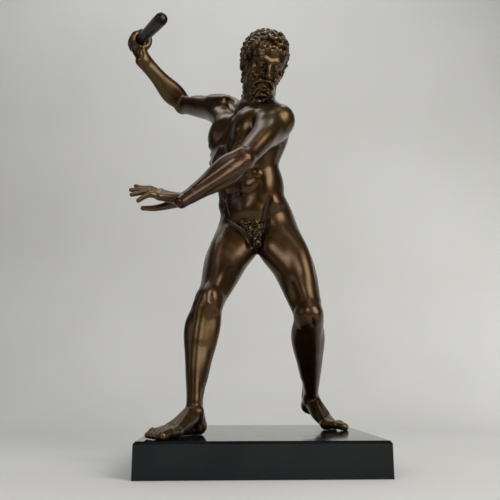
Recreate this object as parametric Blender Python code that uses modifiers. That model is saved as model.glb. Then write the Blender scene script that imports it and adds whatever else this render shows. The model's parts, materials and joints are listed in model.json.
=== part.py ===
"""A bronze Hercules striking with his club, on a square plinth of black stone.

Run with: blender --background --python part.py
Units are metres, +Z is up, and the figure faces -Y. The origin is the centre
of the plinth's underside.

The figure is one casting. It is modelled as clay is: rounded masses are laid
on the bones of the pose and blend into each other, beads of the same masses
are fused by a Remesh, and the fused skin is drawn onto the blended surface.
Places on the figure are shares of its standing height.
"""
import math

import bmesh
import bpy
import numpy as np
from mathutils import Matrix, Vector

# Plinth
PLINTH_WIDTH = 0.240
PLINTH_HEIGHT = 0.034
PLINTH_CHAMFER = 0.0025
PLINTH_CORNER = 0.002

# Figure
STATURE = 0.520
SEAT_GAP = 0.0003
FIGURE_TRIANGLES = 9100

# Club
CLUB_LENGTH = 0.138
CLUB_END_RADIUS = 0.0082
CLUB_GRIP_RADIUS = 0.0064
CLUB_BUTT_RADIUS = 0.0058
CLUB_GRIP_FROM_BUTT = 0.034
CLUB_GAP = 0.0006
CLUB_SIDES = 20

# Casting
ROUGH_VOXEL = 0.0026
FINE_VOXEL = 0.0016

# Pose: joints as shares of the stature, from the middle of the plinth's top
JOINTS = {
    "hip_r": (-0.038, 0.087, 0.461), "hip_l": (0.048, 0.051, 0.461),
    "knee_r": (-0.1045, -0.065, 0.272), "ankle_r": (-0.130, -0.093, 0.043),
    "knee_l": (0.112, -0.048, 0.243), "ankle_l": (0.134, 0.112, 0.064),
    "shoulder_r": (-0.074, 0.116, 0.783), "shoulder_l": (0.045, -0.048, 0.681),
    "elbow_r": (-0.190, 0.236, 0.854), "wrist_r": (-0.290, 0.145, 0.937),
    "elbow_l": (-0.036, -0.154, 0.551), "wrist_l": (-0.153, -0.190, 0.4525),
    "neck": (0.000, 0.020, 0.771), "head": (0.0172, -0.019, 0.8445),
    "chest": (-0.026, 0.035, 0.672), "fist": (-0.304, 0.147, 0.992),
}
CLUB_DIRECTION = (0.41, -0.91, -0.20)

CHEST_UP = (0.26, 0.0, 1.0)
PELVIS_UP = (0.0, -0.08, 1.0)

HEAD_GROWTH = 1.20

SIDES = (("r", -1), ("l", 1))


def unit(vector):
    vector = np.asarray(vector, dtype=float)
    return vector / np.linalg.norm(vector)


class Axes:
    """A place with three directions: side to the figure's left, front, and along."""

    def __init__(self, origin, along, front):
        self.origin = np.asarray(origin, dtype=float)
        self.along = unit(along)
        front = np.asarray(front, dtype=float)
        self.front = unit(front - self.along * np.dot(front, self.along))
        self.side = np.cross(self.along, self.front)

    def at(self, side, front, along):
        return self.origin + self.side * side + self.front * front + self.along * along

    def turned(self, vector):
        return self.side * vector[0] + self.front * vector[1] + self.along * vector[2]


class Bone(Axes):
    """A limb's stretch from joint to joint; along runs from 0 to 1."""

    def __init__(self, start, end, front):
        span = np.asarray(end, dtype=float) - np.asarray(start, dtype=float)
        super().__init__(start, -span, front)
        self.length = float(np.linalg.norm(span))

    def on(self, share, side=0.0, front=0.0):
        return self.at(side, front, -share * self.length)


class Clay:
    """Masses that blend into one surface, and grooves that are pressed into it."""

    def __init__(self):
        self.masses = []

    def blob(self, centre, radii, axes=None, blend=0.008, carve=False):
        if np.isscalar(radii):
            radii = (radii,) * 3
        basis = np.eye(3) if axes is None else np.array([axes.side, axes.front, axes.along])
        self.masses.append(("blob", np.asarray(centre, float), np.asarray(radii, float), basis,
                            blend, carve))

    def strand(self, points, radii, blend=0.006, squash=None, carve=False, steps=6):
        points = np.asarray(points, float)
        radii = np.asarray(radii, float)
        if len(points) > 2:
            points, radii = smooth_path(points, radii, steps)
        self.masses.append(("strand", points, radii, squash, blend, carve))

    def muscle(self, start, belly, end, thickness, ends=0.45, blend=0.006):
        radii = (thickness * ends, thickness, thickness * ends)
        self.strand((start, belly, end), radii, blend)


def smooth_path(points, radii, steps):
    """A Catmull-Rom run through the points, with the radii carried along it."""
    rows = np.column_stack([points, radii])
    first = 2 * rows[0] - rows[1]
    last = 2 * rows[-1] - rows[-2]
    rows = np.vstack([first, rows, last])
    path = []
    for index in range(1, len(rows) - 2):
        before, start, end, after = rows[index - 1:index + 3]
        for step in range(steps):
            t = step / steps
            path.append(0.5 * (2 * start + (end - before) * t
                               + (2 * before - 5 * start + 4 * end - after) * t ** 2
                               + (3 * start - before - 3 * end + after) * t ** 3))
    path.append(rows[-2])
    path = np.array(path)
    return path[:, :3], np.maximum(path[:, 3], 0.0008)


def blob_distance(points, mass):
    _, centre, radii, basis, _, _ = mass
    local = (points - centre) @ basis.T
    shell = np.linalg.norm(local / radii, axis=1)
    slope = np.linalg.norm(local / radii ** 2, axis=1)
    return shell * (shell - 1.0) / np.maximum(slope, 1e-6)


def strand_distance(points, mass):
    _, path, radii, squash, _, _ = mass
    scale = 1.0
    if squash is not None:
        direction, scale = squash
        direction = unit(direction)
        points = points + np.outer((points - path.mean(axis=0)) @ direction, direction) * (1 / scale - 1)
        shift = np.outer((path - path.mean(axis=0)) @ direction, direction) * (1 / scale - 1)
        path = path + shift
    best = np.full(len(points), 9.0)
    for start, end, wide, narrow in zip(path[:-1], path[1:], radii[:-1], radii[1:]):
        span = end - start
        share = np.clip((points - start) @ span / max(span @ span, 1e-12), 0.0, 1.0)
        gap = np.linalg.norm(points - start - share[:, None] * span, axis=1)
        best = np.minimum(best, gap - (wide + (narrow - wide) * share))
    return best * (0.5 + 0.5 * scale)


def reach(mass):
    """The lowest and highest corner of the space where a mass matters."""
    if mass[0] == "blob":
        _, centre, radii, basis, blend, _ = mass
        half = np.sqrt(((basis * radii[:, None]) ** 2).sum(axis=0)) + blend + 0.004
        return centre - half, centre + half
    _, path, radii, _, blend, _ = mass
    half = radii.max() + blend + 0.004
    return path.min(axis=0) - half, path.max(axis=0) + half


def field(points, clay):
    """Signed distance to the blended surface: negative inside."""
    order = np.argsort(points[:, 2])
    rows = points[order]
    heights = rows[:, 2]
    value = np.full(len(rows), 0.05)
    for mass in clay.masses:
        low, high = reach(mass)
        first, last = np.searchsorted(heights, (low[2], high[2]))
        slab = rows[first:last]
        near = np.nonzero(np.all((slab[:, :2] > low[:2]) & (slab[:, :2] < high[:2]), axis=1))[0]
        if not len(near):
            continue
        near = near + first
        measure = blob_distance if mass[0] == "blob" else strand_distance
        distance = measure(rows[near], mass)
        blend, carve = mass[-2:]
        here = value[near]
        if carve:
            mix = np.clip(0.5 + 0.5 * (here + distance) / blend, 0, 1)
            value[near] = -(-here * mix + distance * (1 - mix) - blend * mix * (1 - mix))
        else:
            mix = np.clip(0.5 + 0.5 * (here - distance) / blend, 0, 1)
            value[near] = here * (1 - mix) + distance * mix - blend * mix * (1 - mix)
    value = np.maximum(value, -heights)
    result = np.empty_like(value)
    result[order] = value
    return result


def draw_onto(points, clay, rounds):
    """Move the points onto the blended surface, a little at a time."""
    step = 0.0006
    corners = np.array([(1, -1, -1), (-1, -1, 1), (-1, 1, -1), (1, 1, 1)], float)
    for _ in range(rounds):
        samples = [field(points + corner * step, clay) for corner in corners]
        slope = sum(value[:, None] * corner for value, corner in zip(samples, corners)) / (4 * step)
        height = sum(samples) / 4
        steep = np.maximum((slope ** 2).sum(axis=1), 0.2)
        move = -slope * (height / steep)[:, None]
        size = np.linalg.norm(move, axis=1)
        points = points + move * np.minimum(1, 0.006 / np.maximum(size, 1e-9))[:, None]
    return points


def skin(clay, inside, way, lift=0.0):
    """Where a ray from inside the clay comes out, lifted off the surface by a share."""
    way = unit(way)
    steps = np.linspace(0.0, 0.14, 141)
    depth = field(inside + np.outer(steps, way), clay)
    index = int(np.argmax(depth > 0))
    if index == 0:
        return inside + way * lift
    part = depth[index - 1] / (depth[index - 1] - depth[index])
    return inside + way * (steps[index - 1] + part * (steps[index] - steps[index - 1]) + lift)


def trunk_frames():
    """Pelvis and chest axes, and a function for the frames between them."""
    hips = np.array(JOINTS["hip_r"]), np.array(JOINTS["hip_l"])
    middle = (hips[0] + hips[1]) / 2
    pelvis = Axes(middle, PELVIS_UP, np.cross(hips[1] - hips[0], PELVIS_UP))
    line = np.array(JOINTS["shoulder_l"]) - np.array(JOINTS["shoulder_r"])
    line[2] *= 0.45
    chest = Axes(JOINTS["chest"], CHEST_UP, np.cross(line, CHEST_UP))

    def trunk(share):
        origin = pelvis.origin * (1 - share) + chest.origin * share
        origin = origin + np.array((-0.001, -0.012, 0.0)) * math.sin(math.pi * share)
        along = pelvis.along * (1 - share) + chest.along * share
        front = pelvis.front * (1 - share) + chest.front * share
        return Axes(origin, along, front)

    return pelvis, chest, trunk


def add_trunk(clay, pelvis, chest, trunk):
    """Ribcage, belly and loins, and the broad muscles that lie on them."""
    at = chest.at
    clay.blob(at(-0.004, -0.006, -0.010), (0.088, 0.060, 0.106), chest, 0.02)
    clay.blob(at(0, -0.014, 0.056), (0.066, 0.040, 0.044), chest, 0.02)
    clay.blob(at(-0.006, -0.006, -0.060), (0.080, 0.057, 0.056), chest, 0.02)
    for share, width, depth in ((0.62, 0.075, 0.056), (0.42, 0.070, 0.053),
                                (0.22, 0.074, 0.053), (0.04, 0.080, 0.055)):
        frame = trunk(share)
        clay.blob(frame.origin, (width, depth, 0.055), frame, 0.03)
    for sign in (-1, 1):
        clay.blob(at(sign * 0.042, 0.034, 0.018), (0.044, 0.022, 0.038), chest, 0.014)
        clay.blob(at(sign * 0.071, -0.018, 0.004), (0.034, 0.046, 0.082), chest, 0.018)
        clay.blob(at(sign * 0.050, -0.048, 0.036), (0.034, 0.015, 0.046), chest, 0.018)
        clay.blob(at(sign * 0.050, 0.033, 0.004), (0.036, 0.033, 0.046), chest, 0.014)
        frame = trunk(0.21)
        clay.blob(frame.at(sign * 0.019, 0.036, 0.0), (0.032, 0.024, 0.046), frame, 0.016)
        frame = trunk(0.42)
        clay.blob(frame.at(sign * 0.055, 0.004, 0.0), (0.024, 0.040, 0.046), frame, 0.016)
        frame = trunk(0.20)
        clay.blob(frame.at(sign * 0.064, 0.006, 0.006), (0.020, 0.036, 0.022), frame, 0.014)
        clay.blob(pelvis.at(sign * 0.042, -0.023, -0.019), (0.042, 0.034, 0.050), pelvis, 0.020)
        clay.blob(pelvis.at(sign * 0.052, -0.002, 0.004), (0.026, 0.044, 0.044), pelvis, 0.018)
    clay.blob(pelvis.at(0, 0.034, -0.026), (0.034, 0.022, 0.028), pelvis, 0.014)


def add_torso_relief(clay, chest, trunk):
    """Grooves and bumps laid on the finished skin: breastbone, ribs, belly, spine and groin."""

    def on_chest(side, along, lift, front=1.0, out=0.0):
        return skin(clay, chest.at(side * 0.6, 0, along), chest.turned((side * 5.0 + out, front, 0)), lift)

    def on_belly(share, side, lift, front=1.0):
        frame = trunk(share)
        return skin(clay, frame.at(side * 0.6, 0, 0), frame.turned((side * 6.0, front, 0)), lift)

    relief = []
    for sign in (-1, 1):
        for rib in range(1, 5):
            drop = -0.004 - 0.021 * rib
            tail = on_chest(sign * 0.084, drop + 0.014, -0.0062, 0.10)
            middle = on_chest(sign * 0.074, drop + 0.005, -0.0038, 0.34)
            tip = on_chest(sign * 0.062, drop - 0.004, -0.0056, 0.56)
            relief.append(((tail, middle, tip), (0.0060, 0.0080, 0.0062), 0.005, False))
        arch = [on_chest(sign * side, along, -0.0045) for side, along in
                ((0.014, -0.056), (0.030, -0.072), (0.050, -0.094))]
        relief.append((arch, (0.0050, 0.0066, 0.0060), 0.010, False))
        for share, side in ((0.62, 0.047), (0.52, 0.058), (0.43, 0.045)):
            spot = on_belly(share, sign * side, -0.0040)
            relief.append((spot, (0.0085, 0.0070, 0.0065), trunk(share), 0.006))
        for share, height in ((0.78, 0.013), (0.65, 0.013), (0.52, 0.013), (0.395, 0.012)):
            frame = trunk(share)
            spot = on_belly(share, sign * 0.021, -0.0075)
            relief.append((spot, (0.0165, 0.0100, height), frame, 0.009))
        furrow = [on_belly(share, sign * side, 0.0010) for share, side in
                  ((0.27, 0.074), (0.17, 0.060), (0.05, 0.044), (-0.06, 0.026))]
        relief.append((furrow, (0.0020, 0.0034, 0.0034, 0.0020), 0.010, True))
        spine_side = [on_chest(sign * 0.020, along, -0.0085, -1.0) for along in (0.045, 0.0, -0.05)]
        spine_side += [on_belly(share, sign * 0.019, -0.0085, -1.0) for share in (0.55, 0.35)]
        relief.append((spine_side, (0.006, 0.0105, 0.0110, 0.0105, 0.006), 0.010, False))
        relief.append((on_chest(sign * 0.060, -0.012, 0.0000), (0.0030, 0.0030, 0.0030), chest, 0.004))
    sternum = [on_chest(0, along, 0.0012) for along in (0.060, 0.030, -0.010, -0.038)]
    relief.append((sternum, (0.0016, 0.0030, 0.0030, 0.0020), 0.010, True))
    middle = [on_belly(share, 0, 0.0012) for share in (0.84, 0.66, 0.50, 0.36)]
    relief.append((middle, (0.0010, 0.0026, 0.0028, 0.0018), 0.010, True))
    spine = [on_chest(0, along, 0.002, -1.0) for along in (0.060, 0.0, -0.05)]
    spine += [on_belly(share, 0, 0.002, -1.0) for share in (0.55, 0.30, 0.12)]
    relief.append((spine, (0.003, 0.006, 0.006, 0.006, 0.005, 0.002), 0.012, True))
    navel = on_belly(0.31, 0, 0.001)
    relief.append(([navel, navel - trunk(0.31).front * 0.006], (0.0042, 0.0030), 0.004, True))
    for mass in relief:
        if len(mass) == 4 and isinstance(mass[2], Axes):
            clay.blob(mass[0], mass[1], mass[2], mass[3])
        else:
            clay.strand(*mass[:2], mass[2], carve=mass[3])


def add_groin(clay, pelvis):
    """A triangle of short curls, and the parts below it."""

    def on_front(side, along, lift):
        return skin(clay, pelvis.at(side * 0.8, 0.010, along), pelvis.front, lift)

    middle = 0.028
    for sign in (-1, 1):
        clay.blob(on_front(middle + sign * 0.0065, -0.044, 0.002), (0.0088, 0.0095, 0.0125), pelvis, 0.002)
    clay.strand((on_front(middle, -0.020, 0.001), on_front(middle + 0.001, -0.028, 0.007),
                 on_front(middle + 0.001, -0.037, 0.007)), (0.0068, 0.0066, 0.0052), 0.002)
    tufts = []
    for row in range(5):
        count = 9 - 2 * row + row // 2
        for index in range(count):
            side = (index - (count - 1) / 2) * 0.0082 + 0.009 + 0.004 * row
            tufts.append(on_front(side, 0.004 - 0.0070 * row, 0.0000))
    for index, tuft in enumerate(tufts):
        curl(clay, tuft, pelvis.front, 0.0048, 2.2 * index, 0.0010)


def add_leg(clay, sign, hip, knee, ankle, front, arch, bow):
    """Thigh and shin; arch and bow are how far the middle of each stands out sideways."""
    thigh = Bone(hip, knee, front)

    def on(share, side=0.0, ahead=0.0):
        bend = sign * arch * math.sin(math.pi * min(1.0, max(0.0, share)) ** 2.0)
        return thigh.on(share, side + bend, ahead)

    clay.strand((on(-0.05), on(0.25), on(0.60), on(0.85), on(1.0)), (0.047, 0.048, 0.037, 0.027, 0.024), 0.02)
    clay.muscle(on(0.05, 0.006 * sign, 0.024), on(0.42, 0.004 * sign, 0.026),
                on(0.90, 0, 0.014), 0.026, blend=0.012)
    clay.muscle(on(0.10, 0.024 * sign, 0.002), on(0.45, 0.024 * sign, 0.006),
                on(0.88, 0.014 * sign, 0.008), 0.024, blend=0.012)
    clay.muscle(on(0.45, -0.008 * sign, 0.014), on(0.76, -0.011 * sign, 0.014),
                on(0.97, -0.010 * sign, 0.011), 0.017, blend=0.010)
    clay.muscle(on(0.06, -0.036 * sign, 0.004), on(0.28, -0.031 * sign, -0.004),
                on(0.66, -0.010 * sign, -0.008), 0.033, blend=0.014)
    for side in (-0.012, 0.012):
        clay.muscle(on(0.05, side, -0.020), on(0.5, side, -0.018), on(1.06, side * 1.2, -0.014),
                    0.024, blend=0.010)
    clay.blob(on(0.99, 0, 0.003), (0.0225, 0.022, 0.028), thigh, 0.014)
    for side in (-0.013, 0.013):
        clay.blob(on(0.985, side, -0.002), 0.0125, blend=0.012)
    shin = Bone(knee, ankle, front)

    def on(share, side=0.0, ahead=0.0):
        bend = sign * bow * math.sin(math.pi * min(1.0, max(0.0, share)) ** 0.6)
        return shin.on(share, side + bend, ahead)

    clay.blob(on(-0.01, 0, 0.0215), (0.0125, 0.008, 0.0140), shin, 0.005)
    clay.strand((on(0.06, 0, 0.018), on(0.14, 0, 0.017)), (0.0058, 0.0064), 0.006)
    clay.blob(on(0.145, 0, 0.0165), (0.0085, 0.0065, 0.0085), shin, 0.006)
    for side in (-0.011, 0.011):
        clay.blob(on(0.070, side, 0.0185), (0.0070, 0.0055, 0.0085), shin, 0.006)
    clay.strand((on(0.0), on(0.25, 0, -0.004), on(0.6), on(0.85), on(1.0)),
                (0.0235, 0.0270, 0.0215, 0.0165, 0.0160), 0.014)
    clay.strand((on(0.10, -0.004 * sign, 0.014), on(0.5, -0.004 * sign, 0.012),
                 on(0.9, -0.004 * sign, 0.006)), (0.012, 0.009, 0.009), 0.008)
    clay.muscle(on(0.06, 0.012 * sign, 0.006), on(0.30, 0.014 * sign, 0.005),
                on(0.80, 0.003, 0.006), 0.017, blend=0.008)
    clay.muscle(on(-0.03, -0.013 * sign, -0.014), on(0.26, -0.015 * sign, -0.014),
                on(0.70, -0.008 * sign, -0.012), 0.023, blend=0.008)
    clay.muscle(on(0.30, -0.010 * sign, -0.006), on(0.58, -0.009 * sign, -0.006),
                on(0.90, -0.003 * sign, -0.008), 0.0165, blend=0.008)
    clay.muscle(on(-0.03, 0.013 * sign, -0.014), on(0.23, 0.013 * sign, -0.014),
                on(0.60, 0.006 * sign, -0.012), 0.021, blend=0.008)
    clay.strand((on(0.5, 0, -0.014), on(0.8, 0, -0.016), on(1.02, 0, -0.020)),
                (0.015, 0.0085, 0.0085), 0.008)


def add_foot(clay, sign, ankle, heel, ball, toes, up):
    """Heel, arch, instep, tendons and toes between the ankle, the ball and the toe tips."""
    sole = Axes(ankle, up, ball - heel)
    ahead = Axes(ball, (0, 0, 1), toes - ball)
    clay.strand((ankle, heel + sole.along * 0.015 + sole.front * 0.004), (0.015, 0.0165), 0.010)
    clay.strand((ankle - sole.front * 0.012 + sole.along * 0.012, heel + sole.along * 0.020),
                (0.0075, 0.0110), 0.010)
    clay.blob(ankle + sole.side * 0.0135 * sign - sole.along * 0.004, 0.0080, blend=0.006)
    clay.blob(ankle - sole.side * 0.0140 * sign + sole.along * 0.003, 0.0085, blend=0.006)
    middle = (ankle + ball) / 2
    for side, lift, thick in ((-0.011, 0.003, 0.0140), (0.0, 0.003, 0.0135), (0.011, -0.002, 0.0120)):
        clay.strand((ankle + sole.front * 0.002 - sole.along * 0.003,
                     middle + sole.side * side * sign + sole.along * lift,
                     ball + ahead.side * side * 1.35 * sign + ahead.along * 0.0095),
                    (0.0155, thick, 0.0100), 0.008)
    clay.strand((heel + sole.side * 0.008 * sign + sole.along * 0.010,
                 ball + ahead.side * 0.020 * sign + ahead.along * 0.008), (0.012, 0.009), 0.008)
    clay.blob(ahead.at(-0.0165 * sign, 0, 0.0105), (0.0120, 0.0140, 0.0105), ahead, 0.006)
    lengths = (0.042, 0.042, 0.038, 0.033, 0.027)
    thick = (0.0088, 0.0064, 0.0062, 0.0060, 0.0058)
    for index in range(5):
        side = (-0.0190 + 0.0108 * index) * sign
        length = lengths[index]
        size = thick[index]
        root = ahead.at(side, -0.004 - 0.003 * index, 0.0115)
        bend = ahead.at(side * 1.05, length * 0.52, 0.0130 if index else 0.0105)
        knuckle = ahead.at(side * 1.08, length * 0.80, 0.0095)
        tip = ahead.at(side * 1.10, length, 0.0058 if index else 0.0072)
        clay.strand((root, bend, knuckle, tip), (size, size * 0.88, size * 0.86, size * 0.95), 0.0016,
                    steps=3)
        clay.blob(bend + ahead.along * 0.0006, size * 0.98, blend=0.002)
        start = ankle + sole.front * 0.012 + sole.side * sign * (index - 2) * 0.0022 + sole.along * 0.006
        tendon = [skin(clay, start * (1 - share) + root * share - sole.along * 0.006, sole.along, -0.0006)
                  for share in (0.15, 0.55, 0.95)]
        clay.strand(tendon, (0.0016, 0.0021, 0.0020), 0.003)


def add_arm(clay, sign, shoulder, elbow, wrist, flat):
    """Upper arm and forearm; flat is the direction across the broad wrist."""
    upper = Bone(shoulder, elbow, wrist - elbow)
    on = upper.on
    clay.strand((on(0), on(0.5), on(1.0)), (0.030, 0.026, 0.0215), 0.014)
    clay.muscle(on(0.10, 0, 0.008), on(0.52, 0, 0.014), on(0.98, 0, 0.008), 0.022, blend=0.010)
    clay.muscle(on(0.05, 0.004 * sign, -0.008), on(0.45, 0.006 * sign, -0.013),
                on(0.92, 0, -0.008), 0.023, blend=0.010)
    clay.blob(on(1.0, 0, -0.012), (0.011, 0.011, 0.013), upper, 0.008)
    for side in (-0.014, 0.014):
        clay.blob(on(0.97, side, -0.002), 0.0095, blend=0.009)
    fore = Bone(elbow, wrist, shoulder - elbow)
    on = fore.on
    clay.strand((on(0.0), on(0.25), on(0.65), on(0.92)), (0.0215, 0.0225, 0.0165, 0.0125), 0.012)
    clay.muscle(on(-0.12, 0.009 * sign, 0.006), on(0.24, 0.012 * sign, 0.006),
                on(0.78, 0.005 * sign, 0.002), 0.0175, blend=0.007)
    clay.muscle(on(0.02, -0.008 * sign, 0.004), on(0.30, -0.0135 * sign, 0.002),
                on(0.88, -0.005 * sign, 0), 0.0185, blend=0.007)
    for side in (-1, 1):
        clay.strand((on(0.35), on(0.75) + flat * 0.006 * side, on(1.03) + flat * 0.0095 * side),
                    (0.0165, 0.0140, 0.0122), 0.008)
    clay.strand((on(0.0, 0, -0.014), on(0.4, 0, -0.0145), on(0.97, 0, -0.009)),
                (0.0095, 0.0085, 0.0078), 0.004)
    for side in (-1, 1):
        groove = [skin(clay, on(share), fore.turned((side * 0.9, -1, 0)), 0.0006)
                  for share in (0.16, 0.40, 0.66, 0.84)]
        clay.strand(groove, (0.0014, 0.0024, 0.0022, 0.0012), 0.006, carve=True)


def add_shoulders(clay, chest):
    """Deltoids, the webs of muscle to the chest and the back, collar bones and trapezius."""
    neck = np.array(JOINTS["neck"])
    for letter, sign in SIDES:
        shoulder = np.array(JOINTS["shoulder_" + letter])
        elbow = np.array(JOINTS["elbow_" + letter])
        arm = unit(elbow - shoulder)
        top = shoulder + 0.006 * chest.along + 0.004 * sign * chest.side
        clay.blob(top, 0.037, blend=0.016)
        for turn in (-1, 0, 1):
            start = shoulder + chest.along * 0.018 - sign * chest.side * 0.020 + chest.front * 0.020 * turn
            belly = shoulder + arm * 0.035 + chest.along * 0.010 + chest.front * 0.016 * turn
            end = shoulder + arm * 0.110 + chest.along * 0.002
            clay.muscle(start, belly, end, 0.024, blend=0.012)
        breast = chest.at(sign * 0.036, 0.040, 0.028)
        clay.muscle(breast, (chest.at(sign * 0.066, 0.040, 0.030) + shoulder) / 2,
                    shoulder + arm * 0.060 + chest.front * 0.008, 0.027, ends=0.7, blend=0.014)
        blade = chest.at(sign * 0.062, -0.040, 0.000)
        clay.muscle(blade, (chest.at(sign * 0.07, -0.03, 0.02) + shoulder) / 2,
                    shoulder + arm * 0.06 - chest.front * 0.010, 0.028, ends=0.7, blend=0.016)
        collar = (chest.at(sign * 0.008, 0.020, 0.078), chest.at(sign * 0.040, 0.026, 0.070),
                  shoulder + chest.along * 0.030 + chest.front * 0.010)
        clay.strand(collar, (0.0058, 0.0046, 0.0052), 0.009)
        yoke = (neck - chest.front * 0.012 + chest.along * 0.040,
                neck - chest.front * 0.018 + sign * chest.side * 0.026 - chest.along * 0.010,
                shoulder + chest.along * 0.016 - chest.front * 0.010)
        clay.strand(yoke, (0.022, 0.024, 0.017), 0.018)


def head_axes():
    return Axes(JOINTS["head"], (0.30, -0.62, 1.0), (0.22, -1.0, -0.62))


def grown(clay, origin, growth):
    """The same masses, larger, about a fixed origin."""
    larger = []
    for mass in clay.masses:
        kind, spot, size, extra, blend, carve = mass
        larger.append((kind, origin + (spot - origin) * growth, size * growth, extra, blend * growth, carve))
    return larger


def add_neck(clay, chest, head):
    neck = np.array(JOINTS["neck"])
    clay.strand((neck - chest.along * 0.03, neck, head.at(0, -0.012, -0.03)), (0.040, 0.036, 0.034), 0.015)
    for sign in (-1, 1):
        beside = neck + head.side * sign * 0.022 + head.front * 0.014
        clay.strand((chest.at(sign * 0.007, 0.034, 0.080), beside, head.at(sign * 0.034, -0.014, -0.026)),
                    (0.006, 0.009, 0.010), 0.008)


def add_head(clay, head):
    at = head.at
    clay.blob(at(0, -0.008, 0.014), (0.042, 0.051, 0.044), head, 0.015)
    clay.blob(at(0, 0.018, -0.026), (0.031, 0.030, 0.040), head, 0.015)
    clay.blob(at(0, 0.024, 0.018), (0.034, 0.024, 0.028), head, 0.010)
    for sign in (-1, 1):
        clay.blob(at(sign * 0.0235, 0.026, -0.012), (0.011, 0.011, 0.009), head, 0.008)
        clay.blob(at(sign * 0.0158, 0.052, -0.001), (0.0095, 0.010, 0.0065), head, 0.005, carve=True)
        clay.blob(at(sign * 0.0155, 0.0385, -0.001), 0.0075, blend=0.001)
        clay.strand((at(sign * 0.004, 0.0475, 0.0085), at(sign * 0.016, 0.046, 0.0115),
                     at(sign * 0.0275, 0.037, 0.007)), (0.0042, 0.0042, 0.003), 0.005)
        clay.strand((at(sign * 0.007, 0.0425, 0.001), at(sign * 0.0155, 0.0455, 0.0042),
                     at(sign * 0.0235, 0.040, 0.0)), (0.0014, 0.0018, 0.0014), 0.001)
        clay.blob(at(sign * 0.0058, 0.052, -0.0185), (0.0045, 0.006, 0.004), head, 0.003)
        clay.blob(at(sign * 0.042, -0.002, -0.008), (0.004, 0.009, 0.014), head, 0.003)
    clay.strand((at(0, 0.0475, 0.006), at(0, 0.053, -0.006), at(0, 0.061, -0.0175)),
                (0.0042, 0.0042, 0.0052), 0.004)
    clay.strand((at(-0.010, 0.045, -0.0335), at(0, 0.0525, -0.0305), at(0.010, 0.045, -0.0335)),
                (0.002, 0.0034, 0.002), 0.002)
    clay.strand((at(-0.008, 0.045, -0.0375), at(0, 0.0515, -0.0385), at(0.008, 0.045, -0.0375)),
                (0.002, 0.0036, 0.002), 0.002)


def curl(clay, centre, outward, size, turn, blend=0.0012):
    """A snail of hair lying on the surface, wound round the outward direction."""
    outward = unit(outward)
    first = unit(np.cross(outward, (0.31, 0.17, 0.93)))
    second = np.cross(outward, first)
    path = []
    radii = []
    for step in range(6):
        share = step / 5
        angle = turn + share * 1.5 * math.pi
        radius = size * (1.0 - 0.62 * share)
        path.append(centre + (first * math.cos(angle) + second * math.sin(angle)) * radius
                    + outward * size * (0.10 + 0.45 * share))
        radii.append(size * (0.30 + 0.10 * share))
    clay.masses.append(("strand", np.array(path), np.array(radii), None, blend, False))


def add_hair(clay, head):
    """Rows of snail curls over the skull, down the nape and round the brow."""
    golden = math.pi * (3 - math.sqrt(5))
    count = 120
    for index in range(count):
        rise = 1 - 1.55 * (index + 0.5) / count
        ring = math.sqrt(max(0, 1 - rise * rise))
        angle = index * golden
        way = np.array((ring * math.cos(angle), ring * math.sin(angle), rise))
        facing = way[1] > 0.10 + 0.95 * max(0, way[2] + 0.05) and way[2] < 0.62
        ear = abs(way[0]) > 0.9 and -0.30 < way[2] < 0.10 and way[1] > -0.2
        if facing or ear:
            continue
        spot = head.at(way[0] * 0.0415, -0.008 + way[1] * 0.0515, 0.014 + way[2] * 0.046)
        curl(clay, spot, head.turned(way), 0.0085, index * 2.4)
    for side, ahead, along in ((0.012, 0.020, 0.056), (0.024, 0.010, 0.050), (0.022, 0.026, 0.047),
                               (-0.002, 0.030, 0.052), (0.010, 0.034, 0.046)):
        spot = head.at(side, ahead, along)
        curl(clay, spot, spot - head.origin, 0.0100, 60 * side)
    for index in range(9):
        swing = (index - 4) / 4
        spot = head.at(0.034 * math.sin(swing * 1.25), 0.006 + 0.036 * math.cos(swing * 1.25), 0.032)
        curl(clay, spot, head.turned((math.sin(swing), 0.8 * math.cos(swing), 0.45)), 0.0078,
             index * 1.9)


def add_beard(clay, head):
    """Locks from the ears round the jaw, three rows deep, and a moustache."""
    for row in range(5):
        count = 11 - row
        for index in range(count):
            swing = ((index - (count - 1) / 2) / ((count - 1) / 2)) * (1.45 - 0.12 * row)
            wide = 0.034 - 0.004 * row
            spot = head.at(wide * math.sin(swing), 0.004 + (0.044 - 0.003 * row) * math.cos(swing),
                           -0.030 - 0.0105 * row + 0.014 * abs(swing) ** 1.5)
            if row == 0 and abs(swing) < 0.5:
                continue
            way = head.turned((math.sin(swing), math.cos(swing), -0.25 - 0.2 * row))
            curl(clay, spot, way, 0.0084, index * 2.1 + row)
    for sign in (-1, 1):
        clay.strand((head.at(sign * 0.002, 0.0555, -0.0275), head.at(sign * 0.012, 0.051, -0.030),
                     head.at(sign * 0.021, 0.043, -0.039)), (0.0030, 0.0042, 0.0024), 0.0015)


def add_nape(clay, head):
    """Wavy locks from the skull down the neck to the shoulders."""
    neck = np.array(JOINTS["neck"]) - head.front * 0.004
    top = head.at(0, -0.022, -0.016)
    rows = 6
    for row in range(rows):
        share = row / (rows - 1)
        core = top * (1 - share) + neck * share
        count = 11 - row
        for index in range(count):
            swing = (index - (count - 1) / 2) / ((count - 1) / 2) * math.radians(106 - 10 * row)
            way = head.side * math.sin(swing) - head.front * math.cos(swing)
            way = way - head.along * 0.15
            curl(clay, skin(clay, core, way, -0.0036), way, 0.0098, index * 2.3 + row * 1.1, 0.0018)


def left_hand_axes():
    """Along stands up from the back of the hand, front runs to the fingers."""
    return Axes(JOINTS["wrist_l"], (0.15, -0.50, 0.80), (-1.0, 0.02, 0.13))


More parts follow.
